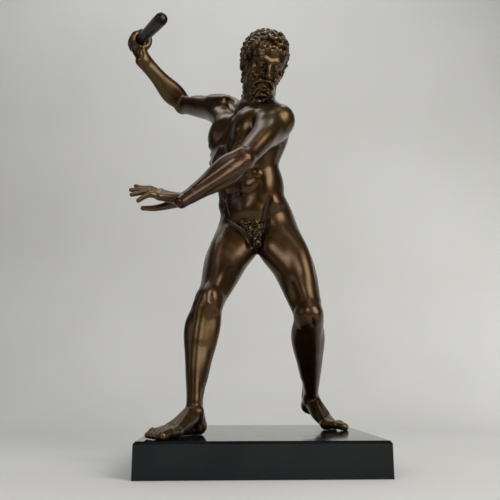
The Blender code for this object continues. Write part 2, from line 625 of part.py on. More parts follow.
def add_left_hand(clay):
    """The open hand: palm down and away, fingers fanned, thumb held under."""
    hand = left_hand_axes()
    wrist = hand.origin
    knuckles = [hand.at(0.015 - 0.0118 * index, 0.052 - 0.002 * abs(index - 2), 0.001) for index in range(4)]
    for knuckle in knuckles:
        clay.strand((wrist + hand.front * 0.004, knuckle), (0.0105, 0.0072), 0.005)
        clay.blob(knuckle + hand.along * 0.002, 0.0066, blend=0.003)
    lengths = (0.038, 0.052, 0.056, 0.053)
    fans = (0.30, 0.10, -0.04, -0.14)
    bends = (0.012, 0.008, 0.004, -0.001)
    for knuckle, length, fan, bend in zip(knuckles, lengths, fans, bends):
        way = unit(hand.front + hand.side * fan)
        first = knuckle + way * length * 0.42 + hand.along * 0.003
        second = knuckle + way * length * 0.74 - hand.along * bend * 0.3
        tip = knuckle + way * length - hand.along * bend
        clay.strand((knuckle, first, second, tip), (0.0060, 0.0056, 0.0050, 0.0044), 0.001, steps=3)
        clay.blob(first, 0.0060, blend=0.002)
    clay.strand((hand.at(-0.010, 0.010, -0.008), hand.at(-0.018, 0.032, -0.022),
                 hand.at(-0.016, 0.056, -0.032), hand.at(-0.012, 0.080, -0.036)),
                (0.0115, 0.0085, 0.0064, 0.0050), 0.004)


def club_axes():
    """The club's own axes: along points to its thick end."""
    return Axes(JOINTS["fist"], CLUB_DIRECTION, (0, 0, 1))


def club_radius(distance):
    """Radius at a distance from the butt, in metres, before the round end."""
    share = np.clip(distance / CLUB_LENGTH, 0, 1)
    grip = CLUB_GRIP_FROM_BUTT / CLUB_LENGTH
    stations = (0.0, grip, 0.55, 0.86, 1.0)
    radii = (CLUB_BUTT_RADIUS, CLUB_GRIP_RADIUS, CLUB_GRIP_RADIUS * 1.16, CLUB_END_RADIUS,
             CLUB_END_RADIUS * 0.98)
    return np.interp(share, stations, radii)


def add_fist(clay, club):
    """Four fingers and the thumb closed round the club."""
    wrist = np.array(JOINTS["wrist_r"])
    fist = club.origin
    rise = unit(fist - wrist)
    rise = unit(rise - club.along * np.dot(rise, club.along))
    out = np.cross(club.along, rise)
    grip = CLUB_GRIP_RADIUS / STATURE
    clay.strand((wrist, fist - rise * (grip + 0.010) + out * 0.002), (0.0165, 0.0205), 0.008,
                squash=(club.along, 0.8))
    for index in range(4):
        level = 0.016 - 0.0125 * index
        size = (0.0078, 0.0080, 0.0076, 0.0068)[index]
        circle = grip + size * 0.92
        path = []
        for step in range(9):
            angle = math.radians(-80 - 31 * step)
            path.append(fist + club.along * level + rise * circle * math.sin(angle)
                        * (1.0 + 0.06 * (index == 1)) - out * circle * math.cos(angle))
        path = np.array(path)
        radii = np.array([size * value for value in (1.1, 1.04, 1.12, 1.0, 0.98, 1.04, 0.94, 0.92, 0.84)])
        clay.masses.append(("strand", path, radii, None, 0.0022, False))
        clay.strand((wrist + out * 0.002, path[0]), (0.010, 0.0085), 0.006)
    circle = grip + 0.0085
    thumb = []
    for step in range(7):
        angle = math.radians(-95 + 30 * step)
        thumb.append(fist + club.along * (0.020 + 0.004 * step / 6) + rise * circle * math.sin(angle)
                     - out * circle * math.cos(angle) * 1.0)
    radii = np.array((0.0100, 0.0098, 0.0086, 0.0082, 0.0078, 0.0074, 0.0062))
    clay.masses.append(("strand", np.array(thumb), radii, None, 0.003, False))
    clay.strand((wrist, thumb[0]), (0.0115, 0.0105), 0.008)
    path = []
    bore = []
    for step in (-0.055, 0.020, 0.080):
        path.append(fist + club.along * step)
        here = float(club_radius(CLUB_GRIP_FROM_BUTT + step * STATURE))
        bore.append((here + CLUB_GAP) / STATURE)
    clay.masses.append(("strand", np.array(path), np.array(bore), None, 0.0006, True))


def sculpt():
    """All the masses of the figure, as shares of its stature."""
    clay = Clay()
    pelvis, chest, trunk = trunk_frames()
    place = {name: np.array(spot) for name, spot in JOINTS.items()}
    add_trunk(clay, pelvis, chest, trunk)
    add_shoulders(clay, chest)
    add_torso_relief(clay, chest, trunk)
    add_leg(clay, -1, place["hip_r"], place["knee_r"], place["ankle_r"], (-0.55, -1, 0.2), -0.002, 0.013)
    add_leg(clay, 1, place["hip_l"], place["knee_l"], place["ankle_l"], (0.55, -1, 0.1), 0.010, 0.002)
    heel = np.array((-0.119, -0.078, 0.0))
    ball = np.array((-0.174, -0.165, 0.0))
    add_foot(clay, -1, place["ankle_r"], heel, ball, ball + (ball - heel), (0, 0, 1))
    heel = np.array((0.123, 0.133, 0.036))
    ball = np.array((0.166, 0.062, 0.0))
    add_foot(clay, 1, place["ankle_l"], heel, ball, ball + np.array((0.05, -0.032, 0.0)),
             (0.2, -0.45, 1))
    club = club_axes()
    right_fore = place["wrist_r"] - place["elbow_r"]
    across = {"r": unit(np.cross(right_fore, club.along)), "l": left_hand_axes().side}
    for letter, sign in SIDES:
        shoulder, elbow, wrist = (place[name + letter] for name in ("shoulder_", "elbow_", "wrist_"))
        flat = across[letter]
        add_arm(clay, sign, shoulder, elbow, wrist, flat)
    head = head_axes()
    add_neck(clay, chest, head)
    skull = Clay()
    add_head(skull, head)
    add_hair(skull, head)
    add_beard(skull, head)
    clay.masses += grown(skull, head.origin, HEAD_GROWTH)
    add_nape(clay, head)
    add_groin(clay, pelvis)
    add_left_hand(clay)
    add_fist(clay, club)
    return clay


def stature_to_metres(points):
    return np.asarray(points) * STATURE + np.array((0, 0, PLINTH_HEIGHT + SEAT_GAP))


def bead_mesh(clay):
    """Spheres and ellipsoids strung along every mass, all in one mesh."""
    ball = bmesh.new()
    bmesh.ops.create_icosphere(ball, subdivisions=2, radius=1.0)
    corners = np.array([vertex.co[:] for vertex in ball.verts])
    faces = np.array([[vertex.index for vertex in face.verts] for face in ball.faces])
    ball.free()
    points = []
    links = []
    total = 0

    def bead(centre, shape):
        nonlocal total
        points.append(corners @ shape + centre)
        links.append(faces + total)
        total += len(corners)

    for mass in clay.masses:
        if mass[-1]:
            continue
        if mass[0] == "blob":
            _, centre, radii, basis, _, _ = mass
            bead(centre, basis * radii[:, None])
            continue
        _, path, radii, squash, _, _ = mass
        shape = np.eye(3)
        if squash is not None:
            direction = unit(squash[0])
            shape = shape - np.outer(direction, direction) * (1 - squash[1])
        for start, end, wide, narrow in zip(path[:-1], path[1:], radii[:-1], radii[1:]):
            gap = np.linalg.norm(end - start)
            count = max(1, math.ceil(gap / (0.5 * min(wide, narrow))))
            for step in range(count + 1):
                share = step / count
                bead(start + (end - start) * share, shape * (wide + (narrow - wide) * share))
    return np.vstack(points), np.vstack(links)


def new_mesh(name, points, links):
    mesh = bpy.data.meshes.new(name)
    mesh.from_pydata(points.tolist(), [], links.tolist())
    mesh.update()
    return mesh


def apply_modifiers(piece):
    graph = bpy.context.evaluated_depsgraph_get()
    mesh = bpy.data.meshes.new_from_object(piece.evaluated_get(graph))
    old = piece.data
    piece.modifiers.clear()
    piece.data = mesh
    bpy.data.meshes.remove(old)


def remesh(piece, voxel):
    modifier = piece.modifiers.new("Fuse", "REMESH")
    modifier.mode = "VOXEL"
    modifier.voxel_size = voxel
    apply_modifiers(piece)


def largest_island(mesh):
    """Keep the biggest connected skin, so that no stray bead or bubble is left."""
    skin = bmesh.new()
    skin.from_mesh(mesh)
    left = set(skin.verts)
    islands = []
    while left:
        seed = left.pop()
        island = {seed}
        queue = [seed]
        while queue:
            vertex = queue.pop()
            for edge in vertex.link_edges:
                other = edge.other_vert(vertex)
                if other in left:
                    left.discard(other)
                    island.add(other)
                    queue.append(other)
        islands.append(island)
    islands.sort(key=len)
    spare = [vertex for island in islands[:-1] for vertex in island]
    bmesh.ops.delete(skin, geom=spare, context="VERTS")
    skin.to_mesh(mesh)
    skin.free()


def cast(clay, piece, voxels, rounds):
    """Fuse the beads, then draw the skin onto the clay, once for each voxel size."""
    for voxel in voxels:
        remesh(piece, voxel)
        largest_island(piece.data)
        mesh = piece.data
        points = np.empty(len(mesh.vertices) * 3)
        mesh.vertices.foreach_get("co", points)
        points = points.reshape(-1, 3)
        shares = (points - np.array((0, 0, PLINTH_HEIGHT + SEAT_GAP))) / STATURE
        points = stature_to_metres(draw_onto(shares, clay, rounds))
        mesh.vertices.foreach_set("co", points.ravel())
        mesh.update()


def material(name, colour, roughness, metallic):
    finish = bpy.data.materials.new(name)
    finish.use_nodes = True
    shader = finish.node_tree.nodes["Principled BSDF"]
    shader.inputs["Base Color"].default_value = (*colour, 1.0)
    shader.inputs["Roughness"].default_value = roughness
    shader.inputs["Metallic"].default_value = metallic
    return finish


def add_piece(name, mesh, collection, finish):
    piece = bpy.data.objects.new(name, mesh)
    collection.objects.link(piece)
    piece.data.materials.append(finish)
    return piece


def make_figure(collection):
    clay = sculpt()
    points, links = bead_mesh(clay)
    mesh = new_mesh("figure", stature_to_metres(points), links)
    bronze = material("bronze", (0.10, 0.052, 0.026), 0.28, 1.0)
    figure = add_piece("figure", mesh, collection, bronze)
    cast(clay, figure, (ROUGH_VOXEL, FINE_VOXEL), 4)
    thin = figure.modifiers.new("Thin", "DECIMATE")
    thin.ratio = FIGURE_TRIANGLES / (2 * len(figure.data.polygons))
    apply_modifiers(figure)
    figure.data.materials.clear()
    figure.data.materials.append(bronze)
    return figure


def make_club(collection):
    """A turned profile, laid in the fist."""
    axes = club_axes()
    profile = bmesh.new()
    steps = 9
    outline = [(0.0, 0.0)]
    for index in range(1, 5):
        angle = index / 4 * math.pi / 2
        outline.append((CLUB_BUTT_RADIUS * math.sin(angle), 0.5 * CLUB_BUTT_RADIUS * (1 - math.cos(angle))))
    start = 0.5 * CLUB_BUTT_RADIUS
    end = CLUB_LENGTH - 0.8 * CLUB_END_RADIUS
    for index in range(1, steps + 1):
        distance = start + (end - start) * index / steps
        outline.append((float(club_radius(distance)), distance))
    last = outline[-1][0]
    for index in range(1, 6):
        angle = index / 5 * math.pi / 2
        outline.append((last * math.cos(angle), end + 0.8 * CLUB_END_RADIUS * math.sin(angle)))
    outline[-1] = (0.0, CLUB_LENGTH)
    vertices = [profile.verts.new((radius, 0, height)) for radius, height in outline]
    for first, second in zip(vertices[:-1], vertices[1:]):
        profile.edges.new((first, second))
    bmesh.ops.spin(profile, geom=profile.verts[:] + profile.edges[:], cent=(0, 0, 0), axis=(0, 0, 1),
                   dvec=(0, 0, 0), angle=2 * math.pi, steps=CLUB_SIDES, use_duplicate=False)
    bmesh.ops.remove_doubles(profile, verts=profile.verts[:], dist=1e-5)
    bmesh.ops.recalc_face_normals(profile, faces=profile.faces[:])
    mesh = bpy.data.meshes.new("club")
    profile.to_mesh(mesh)
    profile.free()
    club = add_piece("club", mesh, collection, material("club_bronze", (0.060, 0.050, 0.040), 0.36, 1.0))
    spot = stature_to_metres(axes.origin)
    turn = Vector((0, 0, 1)).rotation_difference(Vector(axes.along))
    club.matrix_world = (Matrix.Translation(Vector(spot)) @ turn.to_matrix().to_4x4()
                         @ Matrix.Translation((0, 0, -CLUB_GRIP_FROM_BUTT)))
    return club


def make_plinth(collection):
    """A polished block with rounded corners and a small chamfer round the top."""
    block = bmesh.new()
    bmesh.ops.create_cube(block, size=1.0)
    for vertex in block.verts:
        vertex.co.x *= PLINTH_WIDTH
        vertex.co.y *= PLINTH_WIDTH
        vertex.co.z = (vertex.co.z + 0.5) * PLINTH_HEIGHT
    uprights = [edge for edge in block.edges if abs(edge.verts[0].co.z - edge.verts[1].co.z) > 0.001]
    bmesh.ops.bevel(block, geom=uprights, offset=PLINTH_CORNER, offset_type="OFFSET", segments=4,
                    profile=0.5, affect="EDGES")
    top = [edge for edge in block.edges
           if all(abs(vertex.co.z - PLINTH_HEIGHT) < 1e-6 for vertex in edge.verts)
           and any(abs(face.normal.z) < 0.5 for face in edge.link_faces)]
    bmesh.ops.bevel(block, geom=top, offset=PLINTH_CHAMFER, offset_type="OFFSET", segments=1,
                    profile=0.5, affect="EDGES")
    bmesh.ops.recalc_face_normals(block, faces=block.faces[:])
    mesh = bpy.data.meshes.new("plinth")
    block.to_mesh(mesh)
    block.free()
    return add_piece("plinth", mesh, collection, material("black_stone", (0.012, 0.012, 0.014), 0.10, 0.0))


def clear_scene():
    for item in list(bpy.data.objects):
        bpy.data.objects.remove(item, do_unlink=True)


def main():
    clear_scene()
    collection = bpy.data.collections.new("hercules_statue")
    bpy.context.scene.collection.children.link(collection)
    make_plinth(collection)
    make_club(collection)
    make_figure(collection)


main()
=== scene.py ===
"""Looks of a bronze striking figure on its block of black stone.

The figure is sculpted again here as clay, with finer curls, toes and tendons
than the solid has, and drawn into one skin. Places are shares of its height.
"""

import json
import math

import bmesh
import bpy
import numpy as np
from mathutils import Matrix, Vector

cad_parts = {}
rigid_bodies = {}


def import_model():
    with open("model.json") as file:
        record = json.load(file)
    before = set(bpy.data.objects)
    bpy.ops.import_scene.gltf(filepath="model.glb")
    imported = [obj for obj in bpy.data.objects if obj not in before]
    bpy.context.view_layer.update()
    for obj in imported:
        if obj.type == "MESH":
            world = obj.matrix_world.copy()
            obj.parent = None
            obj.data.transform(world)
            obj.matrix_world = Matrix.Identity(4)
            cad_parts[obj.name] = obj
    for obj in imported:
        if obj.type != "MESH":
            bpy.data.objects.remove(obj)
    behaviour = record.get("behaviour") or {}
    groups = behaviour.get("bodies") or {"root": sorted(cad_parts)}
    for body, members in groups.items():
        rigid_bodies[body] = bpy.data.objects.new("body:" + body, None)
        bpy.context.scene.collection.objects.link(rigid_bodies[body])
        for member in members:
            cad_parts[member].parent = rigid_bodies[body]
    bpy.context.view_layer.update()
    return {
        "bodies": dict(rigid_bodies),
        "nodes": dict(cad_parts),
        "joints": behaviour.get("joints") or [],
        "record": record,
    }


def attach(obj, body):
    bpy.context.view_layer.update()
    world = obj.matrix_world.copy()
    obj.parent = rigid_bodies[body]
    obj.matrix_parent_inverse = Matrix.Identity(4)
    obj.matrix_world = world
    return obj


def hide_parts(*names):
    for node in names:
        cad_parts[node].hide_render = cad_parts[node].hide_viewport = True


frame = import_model()

# Plinth
PLINTH_HEIGHT = 0.034

# Figure
STATURE = 0.520
SEAT_GAP = 0.0003
FIGURE_TRIANGLES = 194000

# Club
CLUB_LENGTH = 0.138
CLUB_END_RADIUS = 0.0082
CLUB_GRIP_RADIUS = 0.0064
CLUB_BUTT_RADIUS = 0.0058
CLUB_GRIP_FROM_BUTT = 0.034
CLUB_GAP = 0.0006

# Drawing the skin: voxel sizes one after the other, and the steps of each
VOXELS = (0.0016, 0.0010)
ROUNDS = 3
NORMAL_STEP = 0.0012

# Camera
LENS = 44.97
SENSOR = 36.0
CAMERA_PLACE = (-0.0390, -0.7157, 0.0840)
CAMERA_TILT = 102.229
CAMERA_TURN = -2.522

# Pose: joints as shares of the stature, from the middle of the plinth's top
JOINTS = {
    "hip_r": (-0.038, 0.087, 0.461), "hip_l": (0.048, 0.051, 0.461),
    "knee_r": (-0.1045, -0.065, 0.272), "ankle_r": (-0.130, -0.093, 0.043),
    "knee_l": (0.112, -0.048, 0.243), "ankle_l": (0.134, 0.112, 0.064),
    "shoulder_r": (-0.074, 0.116, 0.783), "shoulder_l": (0.045, -0.048, 0.681),
    "elbow_r": (-0.190, 0.236, 0.854), "wrist_r": (-0.290, 0.145, 0.937),
    "elbow_l": (-0.036, -0.154, 0.551), "wrist_l": (-0.153, -0.190, 0.4525),
    "neck": (0.000, 0.020, 0.771), "head": (0.0172, -0.019, 0.8445),
    "chest": (-0.026, 0.035, 0.672), "fist": (-0.304, 0.147, 0.992),
}
CLUB_DIRECTION = (0.41, -0.91, -0.20)

CHEST_UP = (0.26, 0.0, 1.0)
PELVIS_UP = (0.0, -0.08, 1.0)

HEAD_GROWTH = 1.20

SIDES = (("r", -1), ("l", 1))


def unit(vector):
    vector = np.asarray(vector, dtype=float)
    return vector / np.linalg.norm(vector)


class Axes:
    """A place with three directions: side to the figure's left, front, and along."""

    def __init__(self, origin, along, front):
        self.origin = np.asarray(origin, dtype=float)
        self.along = unit(along)
        front = np.asarray(front, dtype=float)
        self.front = unit(front - self.along * np.dot(front, self.along))
        self.side = np.cross(self.along, self.front)

    def at(self, side, front, along):
        return self.origin + self.side * side + self.front * front + self.along * along

    def turned(self, vector):
        return self.side * vector[0] + self.front * vector[1] + self.along * vector[2]


class Bone(Axes):
    """A limb's stretch from joint to joint; along runs from 0 to 1."""

    def __init__(self, start, end, front):
        span = np.asarray(end, dtype=float) - np.asarray(start, dtype=float)
        super().__init__(start, -span, front)
        self.length = float(np.linalg.norm(span))

    def on(self, share, side=0.0, front=0.0):
        return self.at(side, front, -share * self.length)


class Clay:
    """Masses that blend into one surface, and grooves that are pressed into it."""

    def __init__(self):
        self.masses = []

    def blob(self, centre, radii, axes=None, blend=0.008, carve=False):
        if np.isscalar(radii):
            radii = (radii,) * 3
        basis = np.eye(3) if axes is None else np.array([axes.side, axes.front, axes.along])
        self.masses.append(("blob", np.asarray(centre, float), np.asarray(radii, float), basis,
                            blend, carve))

    def strand(self, points, radii, blend=0.006, squash=None, carve=False, steps=None):
        points = np.asarray(points, float)
        radii = np.asarray(radii, float)
        if len(points) > 2:
            span = np.linalg.norm(np.diff(points, axis=0), axis=1).mean()
            points, radii = smooth_path(points, radii, steps or int(np.clip(span / 0.008, 4, 9)))
        self.masses.append(("strand", points, radii, squash, blend, carve))

    def muscle(self, start, belly, end, thickness, ends=0.45, blend=0.006):
        radii = (thickness * ends, thickness, thickness * ends)
        self.strand((start, belly, end), radii, blend)


def smooth_path(points, radii, steps):
    """A Catmull-Rom run through the points, with the radii carried along it."""
    rows = np.column_stack([points, radii])
    first = 2 * rows[0] - rows[1]
    last = 2 * rows[-1] - rows[-2]
    rows = np.vstack([first, rows, last])
    path = []
    for index in range(1, len(rows) - 2):
        before, start, end, after = rows[index - 1:index + 3]
        for step in range(steps):
            t = step / steps
            path.append(0.5 * (2 * start + (end - before) * t
                               + (2 * before - 5 * start + 4 * end - after) * t ** 2
                               + (3 * start - before - 3 * end + after) * t ** 3))
    path.append(rows[-2])
    path = np.array(path)
    return path[:, :3], np.maximum(path[:, 3], 0.0008)


def curve_distance(points, path, radii, along):
    """Distance to the smooth curve through the path, from a first guess of where each point is nearest."""
    rows = np.column_stack([path, radii])
    rows = np.vstack([2 * rows[0] - rows[1], rows, 2 * rows[-1] - rows[-2]])
    before, start, end, after = (rows[step:step + len(path) - 1] for step in range(4))
    rise = 0.5 * (end - before)
    bend = 0.5 * (2 * before - 5 * start + 4 * end - after)
    twist = 0.5 * (3 * start - before - 3 * end + after)
    for _ in range(3):
        index = np.minimum(along.astype(int), len(path) - 2)
        t = (along - index)[:, None]
        one, two, three = rise[index], bend[index], twist[index]
        place = start[index] + t * (one + t * (two + t * three))
        slope = (one + t * (2 * two + 3 * t * three))[:, :3]
        curve = (2 * two + 6 * t * three)[:, :3]
        gap = points - place[:, :3]
        fall = (slope ** 2).sum(axis=1) - (gap * curve).sum(axis=1)
        step = (gap * slope).sum(axis=1) / np.maximum(fall, 1e-9)
        along = np.clip(along + np.clip(step, -0.5, 0.5), 0, len(path) - 1)
    return np.linalg.norm(gap, axis=1) - place[:, 3]


def blob_distance(points, mass):
    _, centre, radii, basis, _, _ = mass
    local = (points - centre) @ basis.T
    shell = np.linalg.norm(local / radii, axis=1)
    slope = np.linalg.norm(local / radii ** 2, axis=1)
    return shell * (shell - 1.0) / np.maximum(slope, 1e-6)


def strand_distance(points, mass):
    _, path, radii, squash, _, _ = mass
    scale = 1.0
    if squash is not None:
        direction, scale = squash
        direction = unit(direction)
        points = points + np.outer((points - path.mean(axis=0)) @ direction, direction) * (1 / scale - 1)
        shift = np.outer((path - path.mean(axis=0)) @ direction, direction) * (1 / scale - 1)
        path = path + shift
    best = np.full(len(points), 9.0)
    along = np.zeros(len(points))
    for index in range(len(path) - 1):
        start, span = path[index], path[index + 1] - path[index]
        share = np.clip((points - start) @ span / max(span @ span, 1e-12), 0.0, 1.0)
        gap = np.linalg.norm(points - start - share[:, None] * span, axis=1)
        gap -= radii[index] + (radii[index + 1] - radii[index]) * share
        closer = gap < best
        best[closer] = gap[closer]
        along[closer] = index + share[closer]
    if len(path) > 3 and radii.max() > 0.009:
        best = curve_distance(points, path, radii, along)
    return best * (0.5 + 0.5 * scale)


def reach(mass):
    """The lowest and highest corner of the space where a mass matters."""
    if mass[0] == "blob":
        _, centre, radii, basis, blend, _ = mass
        half = np.sqrt(((basis * radii[:, None]) ** 2).sum(axis=0)) + blend + 0.004
        return centre - half, centre + half
    _, path, radii, _, blend, _ = mass
    half = radii.max() + blend + 0.004
    return path.min(axis=0) - half, path.max(axis=0) + half


def field(points, clay):
    """Signed distance to the blended surface: negative inside."""
    order = np.argsort(points[:, 2])
    rows = points[order]
    heights = rows[:, 2]
    value = np.full(len(rows), 0.05)
    for mass in clay.masses:
        low, high = reach(mass)
        first, last = np.searchsorted(heights, (low[2], high[2]))
        slab = rows[first:last]
        near = np.nonzero(np.all((slab[:, :2] > low[:2]) & (slab[:, :2] < high[:2]), axis=1))[0]
        if not len(near):
            continue
        near = near + first
        measure = blob_distance if mass[0] == "blob" else strand_distance
        distance = measure(rows[near], mass)
        blend, carve = mass[-2:]
        here = value[near]
        if carve:
            mix = np.clip(0.5 + 0.5 * (here + distance) / blend, 0, 1)
            value[near] = -(-here * mix + distance * (1 - mix) - blend * mix * (1 - mix))
        else:
            mix = np.clip(0.5 + 0.5 * (here - distance) / blend, 0, 1)
            value[near] = here * (1 - mix) + distance * mix - blend * mix * (1 - mix)
    value = np.maximum(value, -heights)
    result = np.empty_like(value)
    result[order] = value
    return result


def slope_of(points, clay, step):
    """Height above the blended surface, and the way it rises, at each point."""
    corners = np.array([(1, -1, -1), (-1, -1, 1), (-1, 1, -1), (1, 1, 1)], float)
    samples = [field(points + corner * step, clay) for corner in corners]
    slope = sum(value[:, None] * corner for value, corner in zip(samples, corners)) / (4 * step)
    return sum(samples) / 4, slope


def draw_onto(points, clay, rounds):
    """Move the points onto the blended surface, a little at a time."""
    for _ in range(rounds):
        height, slope = slope_of(points, clay, 0.0006)
        steep = np.maximum((slope ** 2).sum(axis=1), 0.2)
        move = -slope * (height / steep)[:, None]
        size = np.linalg.norm(move, axis=1)
        points = points + move * np.minimum(1, 0.006 / np.maximum(size, 1e-9))[:, None]
    return points


def skin(clay, inside, way, lift=0.0):
    """Where a ray from inside the clay comes out, lifted off the surface by a share."""
    way = unit(way)
    steps = np.linspace(0.0, 0.14, 141)
    depth = field(inside + np.outer(steps, way), clay)
    index = int(np.argmax(depth > 0))
    if index == 0:
        return inside + way * lift
    part = depth[index - 1] / (depth[index - 1] - depth[index])
    return inside + way * (steps[index - 1] + part * (steps[index] - steps[index - 1]) + lift)


def trunk_frames():
    """Pelvis and chest axes, and a function for the frames between them."""
    hips = np.array(JOINTS["hip_r"]), np.array(JOINTS["hip_l"])
    middle = (hips[0] + hips[1]) / 2
    pelvis = Axes(middle, PELVIS_UP, np.cross(hips[1] - hips[0], PELVIS_UP))
    line = np.array(JOINTS["shoulder_l"]) - np.array(JOINTS["shoulder_r"])
    line[2] *= 0.45
    chest = Axes(JOINTS["chest"], CHEST_UP, np.cross(line, CHEST_UP))

    def trunk(share):
        origin = pelvis.origin * (1 - share) + chest.origin * share
        origin = origin + np.array((-0.001, -0.012, 0.0)) * math.sin(math.pi * share)
        along = pelvis.along * (1 - share) + chest.along * share
        front = pelvis.front * (1 - share) + chest.front * share
        return Axes(origin, along, front)

    return pelvis, chest, trunk


def add_trunk(clay, pelvis, chest, trunk):
    """Ribcage, belly and loins, and the broad muscles that lie on them."""
    at = chest.at
    clay.blob(at(-0.004, -0.006, -0.010), (0.088, 0.060, 0.106), chest, 0.02)
    clay.blob(at(0, -0.014, 0.056), (0.066, 0.040, 0.044), chest, 0.02)
    clay.blob(at(-0.006, -0.006, -0.060), (0.080, 0.057, 0.056), chest, 0.02)
    for share, width, depth in ((0.62, 0.075, 0.056), (0.42, 0.070, 0.053),
                                (0.22, 0.074, 0.053), (0.04, 0.080, 0.055)):
        frame = trunk(share)
        clay.blob(frame.origin, (width, depth, 0.055), frame, 0.03)
    for sign in (-1, 1):
        clay.blob(at(sign * 0.042, 0.034, 0.018), (0.044, 0.022, 0.038), chest, 0.014)
        clay.blob(at(sign * 0.071, -0.018, 0.004), (0.034, 0.046, 0.082), chest, 0.018)
        clay.blob(at(sign * 0.050, -0.048, 0.036), (0.034, 0.015, 0.046), chest, 0.018)
        clay.blob(at(sign * 0.050, 0.033, 0.004), (0.036, 0.033, 0.046), chest, 0.014)
        frame = trunk(0.21)
        clay.blob(frame.at(sign * 0.019, 0.036, 0.0), (0.032, 0.024, 0.046), frame, 0.016)
        frame = trunk(0.42)
        clay.blob(frame.at(sign * 0.055, 0.004, 0.0), (0.024, 0.040, 0.046), frame, 0.016)
        frame = trunk(0.20)
        clay.blob(frame.at(sign * 0.064, 0.006, 0.006), (0.020, 0.036, 0.022), frame, 0.014)
        clay.blob(pelvis.at(sign * 0.042, -0.023, -0.019), (0.042, 0.034, 0.050), pelvis, 0.020)
        clay.blob(pelvis.at(sign * 0.052, -0.002, 0.004), (0.026, 0.044, 0.044), pelvis, 0.018)
    clay.blob(pelvis.at(0, 0.034, -0.026), (0.034, 0.022, 0.028), pelvis, 0.014)
    frame = trunk(0.20)
    clay.blob(frame.at(0.006, 0.036, -0.006), (0.043, 0.033, 0.037), frame, 0.006)


def add_torso_relief(clay, chest, trunk):
    """Grooves and bumps laid on the finished skin: breastbone, ribs, belly, spine and groin."""

    def on_chest(side, along, lift, front=1.0, out=0.0):
        return skin(clay, chest.at(side * 0.6, 0, along), chest.turned((side * 5.0 + out, front, 0)), lift)

    def on_belly(share, side, lift, front=1.0):
        frame = trunk(share)
        return skin(clay, frame.at(side * 0.6, 0, 0), frame.turned((side * 6.0, front, 0)), lift)

    relief = []
    for sign in (-1, 1):
        for rib in range(1, 5):
            drop = -0.004 - 0.021 * rib
            tail = on_chest(sign * 0.084, drop + 0.014, -0.0062, 0.10)
            middle = on_chest(sign * 0.074, drop + 0.005, -0.0038, 0.34)
            tip = on_chest(sign * 0.062, drop - 0.004, -0.0056, 0.56)
            relief.append(((tail, middle, tip), (0.0060, 0.0080, 0.0062), 0.005, False))
        arch = [on_chest(sign * side, along, -0.0045) for side, along in
                ((0.014, -0.056), (0.030, -0.072), (0.050, -0.094))]
        relief.append((arch, (0.0050, 0.0066, 0.0060), 0.010, False))
        for share, side in ((0.62, 0.047), (0.52, 0.058), (0.43, 0.045)):
            spot = on_belly(share, sign * side, -0.0040)
            relief.append((spot, (0.0085, 0.0070, 0.0065), trunk(share), 0.006))
        for share, height in ((0.78, 0.013), (0.65, 0.013), (0.52, 0.013), (0.395, 0.012)):
            frame = trunk(share)
            spot = on_belly(share, sign * 0.021, -0.0075)
            relief.append((spot, (0.0165, 0.0100, height), frame, 0.009))
        furrow = [on_belly(share, sign * side, 0.0010) for share, side in
                  ((0.27, 0.074), (0.17, 0.060), (0.05, 0.044), (-0.06, 0.026))]
        relief.append((furrow, (0.0020, 0.0034, 0.0034, 0.0020), 0.010, True))
        spine_side = [on_chest(sign * 0.020, along, -0.0085, -1.0) for along in (0.045, 0.0, -0.05)]
        spine_side += [on_belly(share, sign * 0.019, -0.0085, -1.0) for share in (0.55, 0.35)]
        relief.append((spine_side, (0.006, 0.0105, 0.0110, 0.0105, 0.006), 0.010, False))
        relief.append((on_chest(sign * 0.060, -0.012, 0.0000), (0.0030, 0.0030, 0.0030), chest, 0.004))
    sternum = [on_chest(0, along, 0.0012) for along in (0.060, 0.030, -0.010, -0.038)]
    relief.append((sternum, (0.0016, 0.0030, 0.0030, 0.0020), 0.010, True))
    middle = [on_belly(share, 0, 0.0012) for share in (0.84, 0.66, 0.50, 0.36)]
    relief.append((middle, (0.0010, 0.0026, 0.0028, 0.0018), 0.010, True))
    spine = [on_chest(0, along, 0.002, -1.0) for along in (0.060, 0.0, -0.05)]
    spine += [on_belly(share, 0, 0.002, -1.0) for share in (0.55, 0.30, 0.12)]
    relief.append((spine, (0.003, 0.006, 0.006, 0.006, 0.005, 0.002), 0.012, True))
    navel = on_belly(0.31, 0, 0.001)
    relief.append(([navel, navel - trunk(0.31).front * 0.006], (0.0042, 0.0030), 0.004, True))
    for mass in relief:
        if len(mass) == 4 and isinstance(mass[2], Axes):
            clay.blob(mass[0], mass[1], mass[2], mass[3])
        else:
            clay.strand(*mass[:2], mass[2], carve=mass[3])


def add_groin(clay, pelvis):
    """A triangle of short curls, and the parts below it."""

    def on_front(side, along, lift):
        return skin(clay, pelvis.at(side * 0.8, 0.010, along), pelvis.front, lift)

    middle = 0.028
    for sign in (-1, 1):
        clay.blob(on_front(middle + sign * 0.0065, -0.044, 0.002), (0.0088, 0.0095, 0.0125), pelvis, 0.002)
    clay.strand((on_front(middle, -0.020, 0.001), on_front(middle + 0.001, -0.028, 0.007),
                 on_front(middle + 0.001, -0.037, 0.007)), (0.0068, 0.0066, 0.0052), 0.002)
    right = ((-0.045, 0.006), (-0.033, -0.001), (-0.011, -0.017), (0.004, -0.031), (0.013, -0.050))
    left = ((0.056, 0.010), (0.049, -0.012), (0.043, -0.034), (0.041, -0.054))
    for line in (right, left):
        crease = [on_front(side, along, 0.0020) for side, along in line]
        clay.strand(crease, [0.0012] + [0.0032] * (len(line) - 2) + [0.0016], 0.012, carve=True)
    tufts = []
    for row in range(5):
        count = 9 - 2 * row + row // 2
        for index in range(count):
            side = (index - (count - 1) / 2) * 0.0082 + 0.009 + 0.004 * row
            tufts.append(on_front(side, 0.004 - 0.0070 * row, 0.0004))
    for index, tuft in enumerate(tufts):
        curl(clay, tuft, pelvis.front, 0.0048, 2.2 * index, 0.0010)


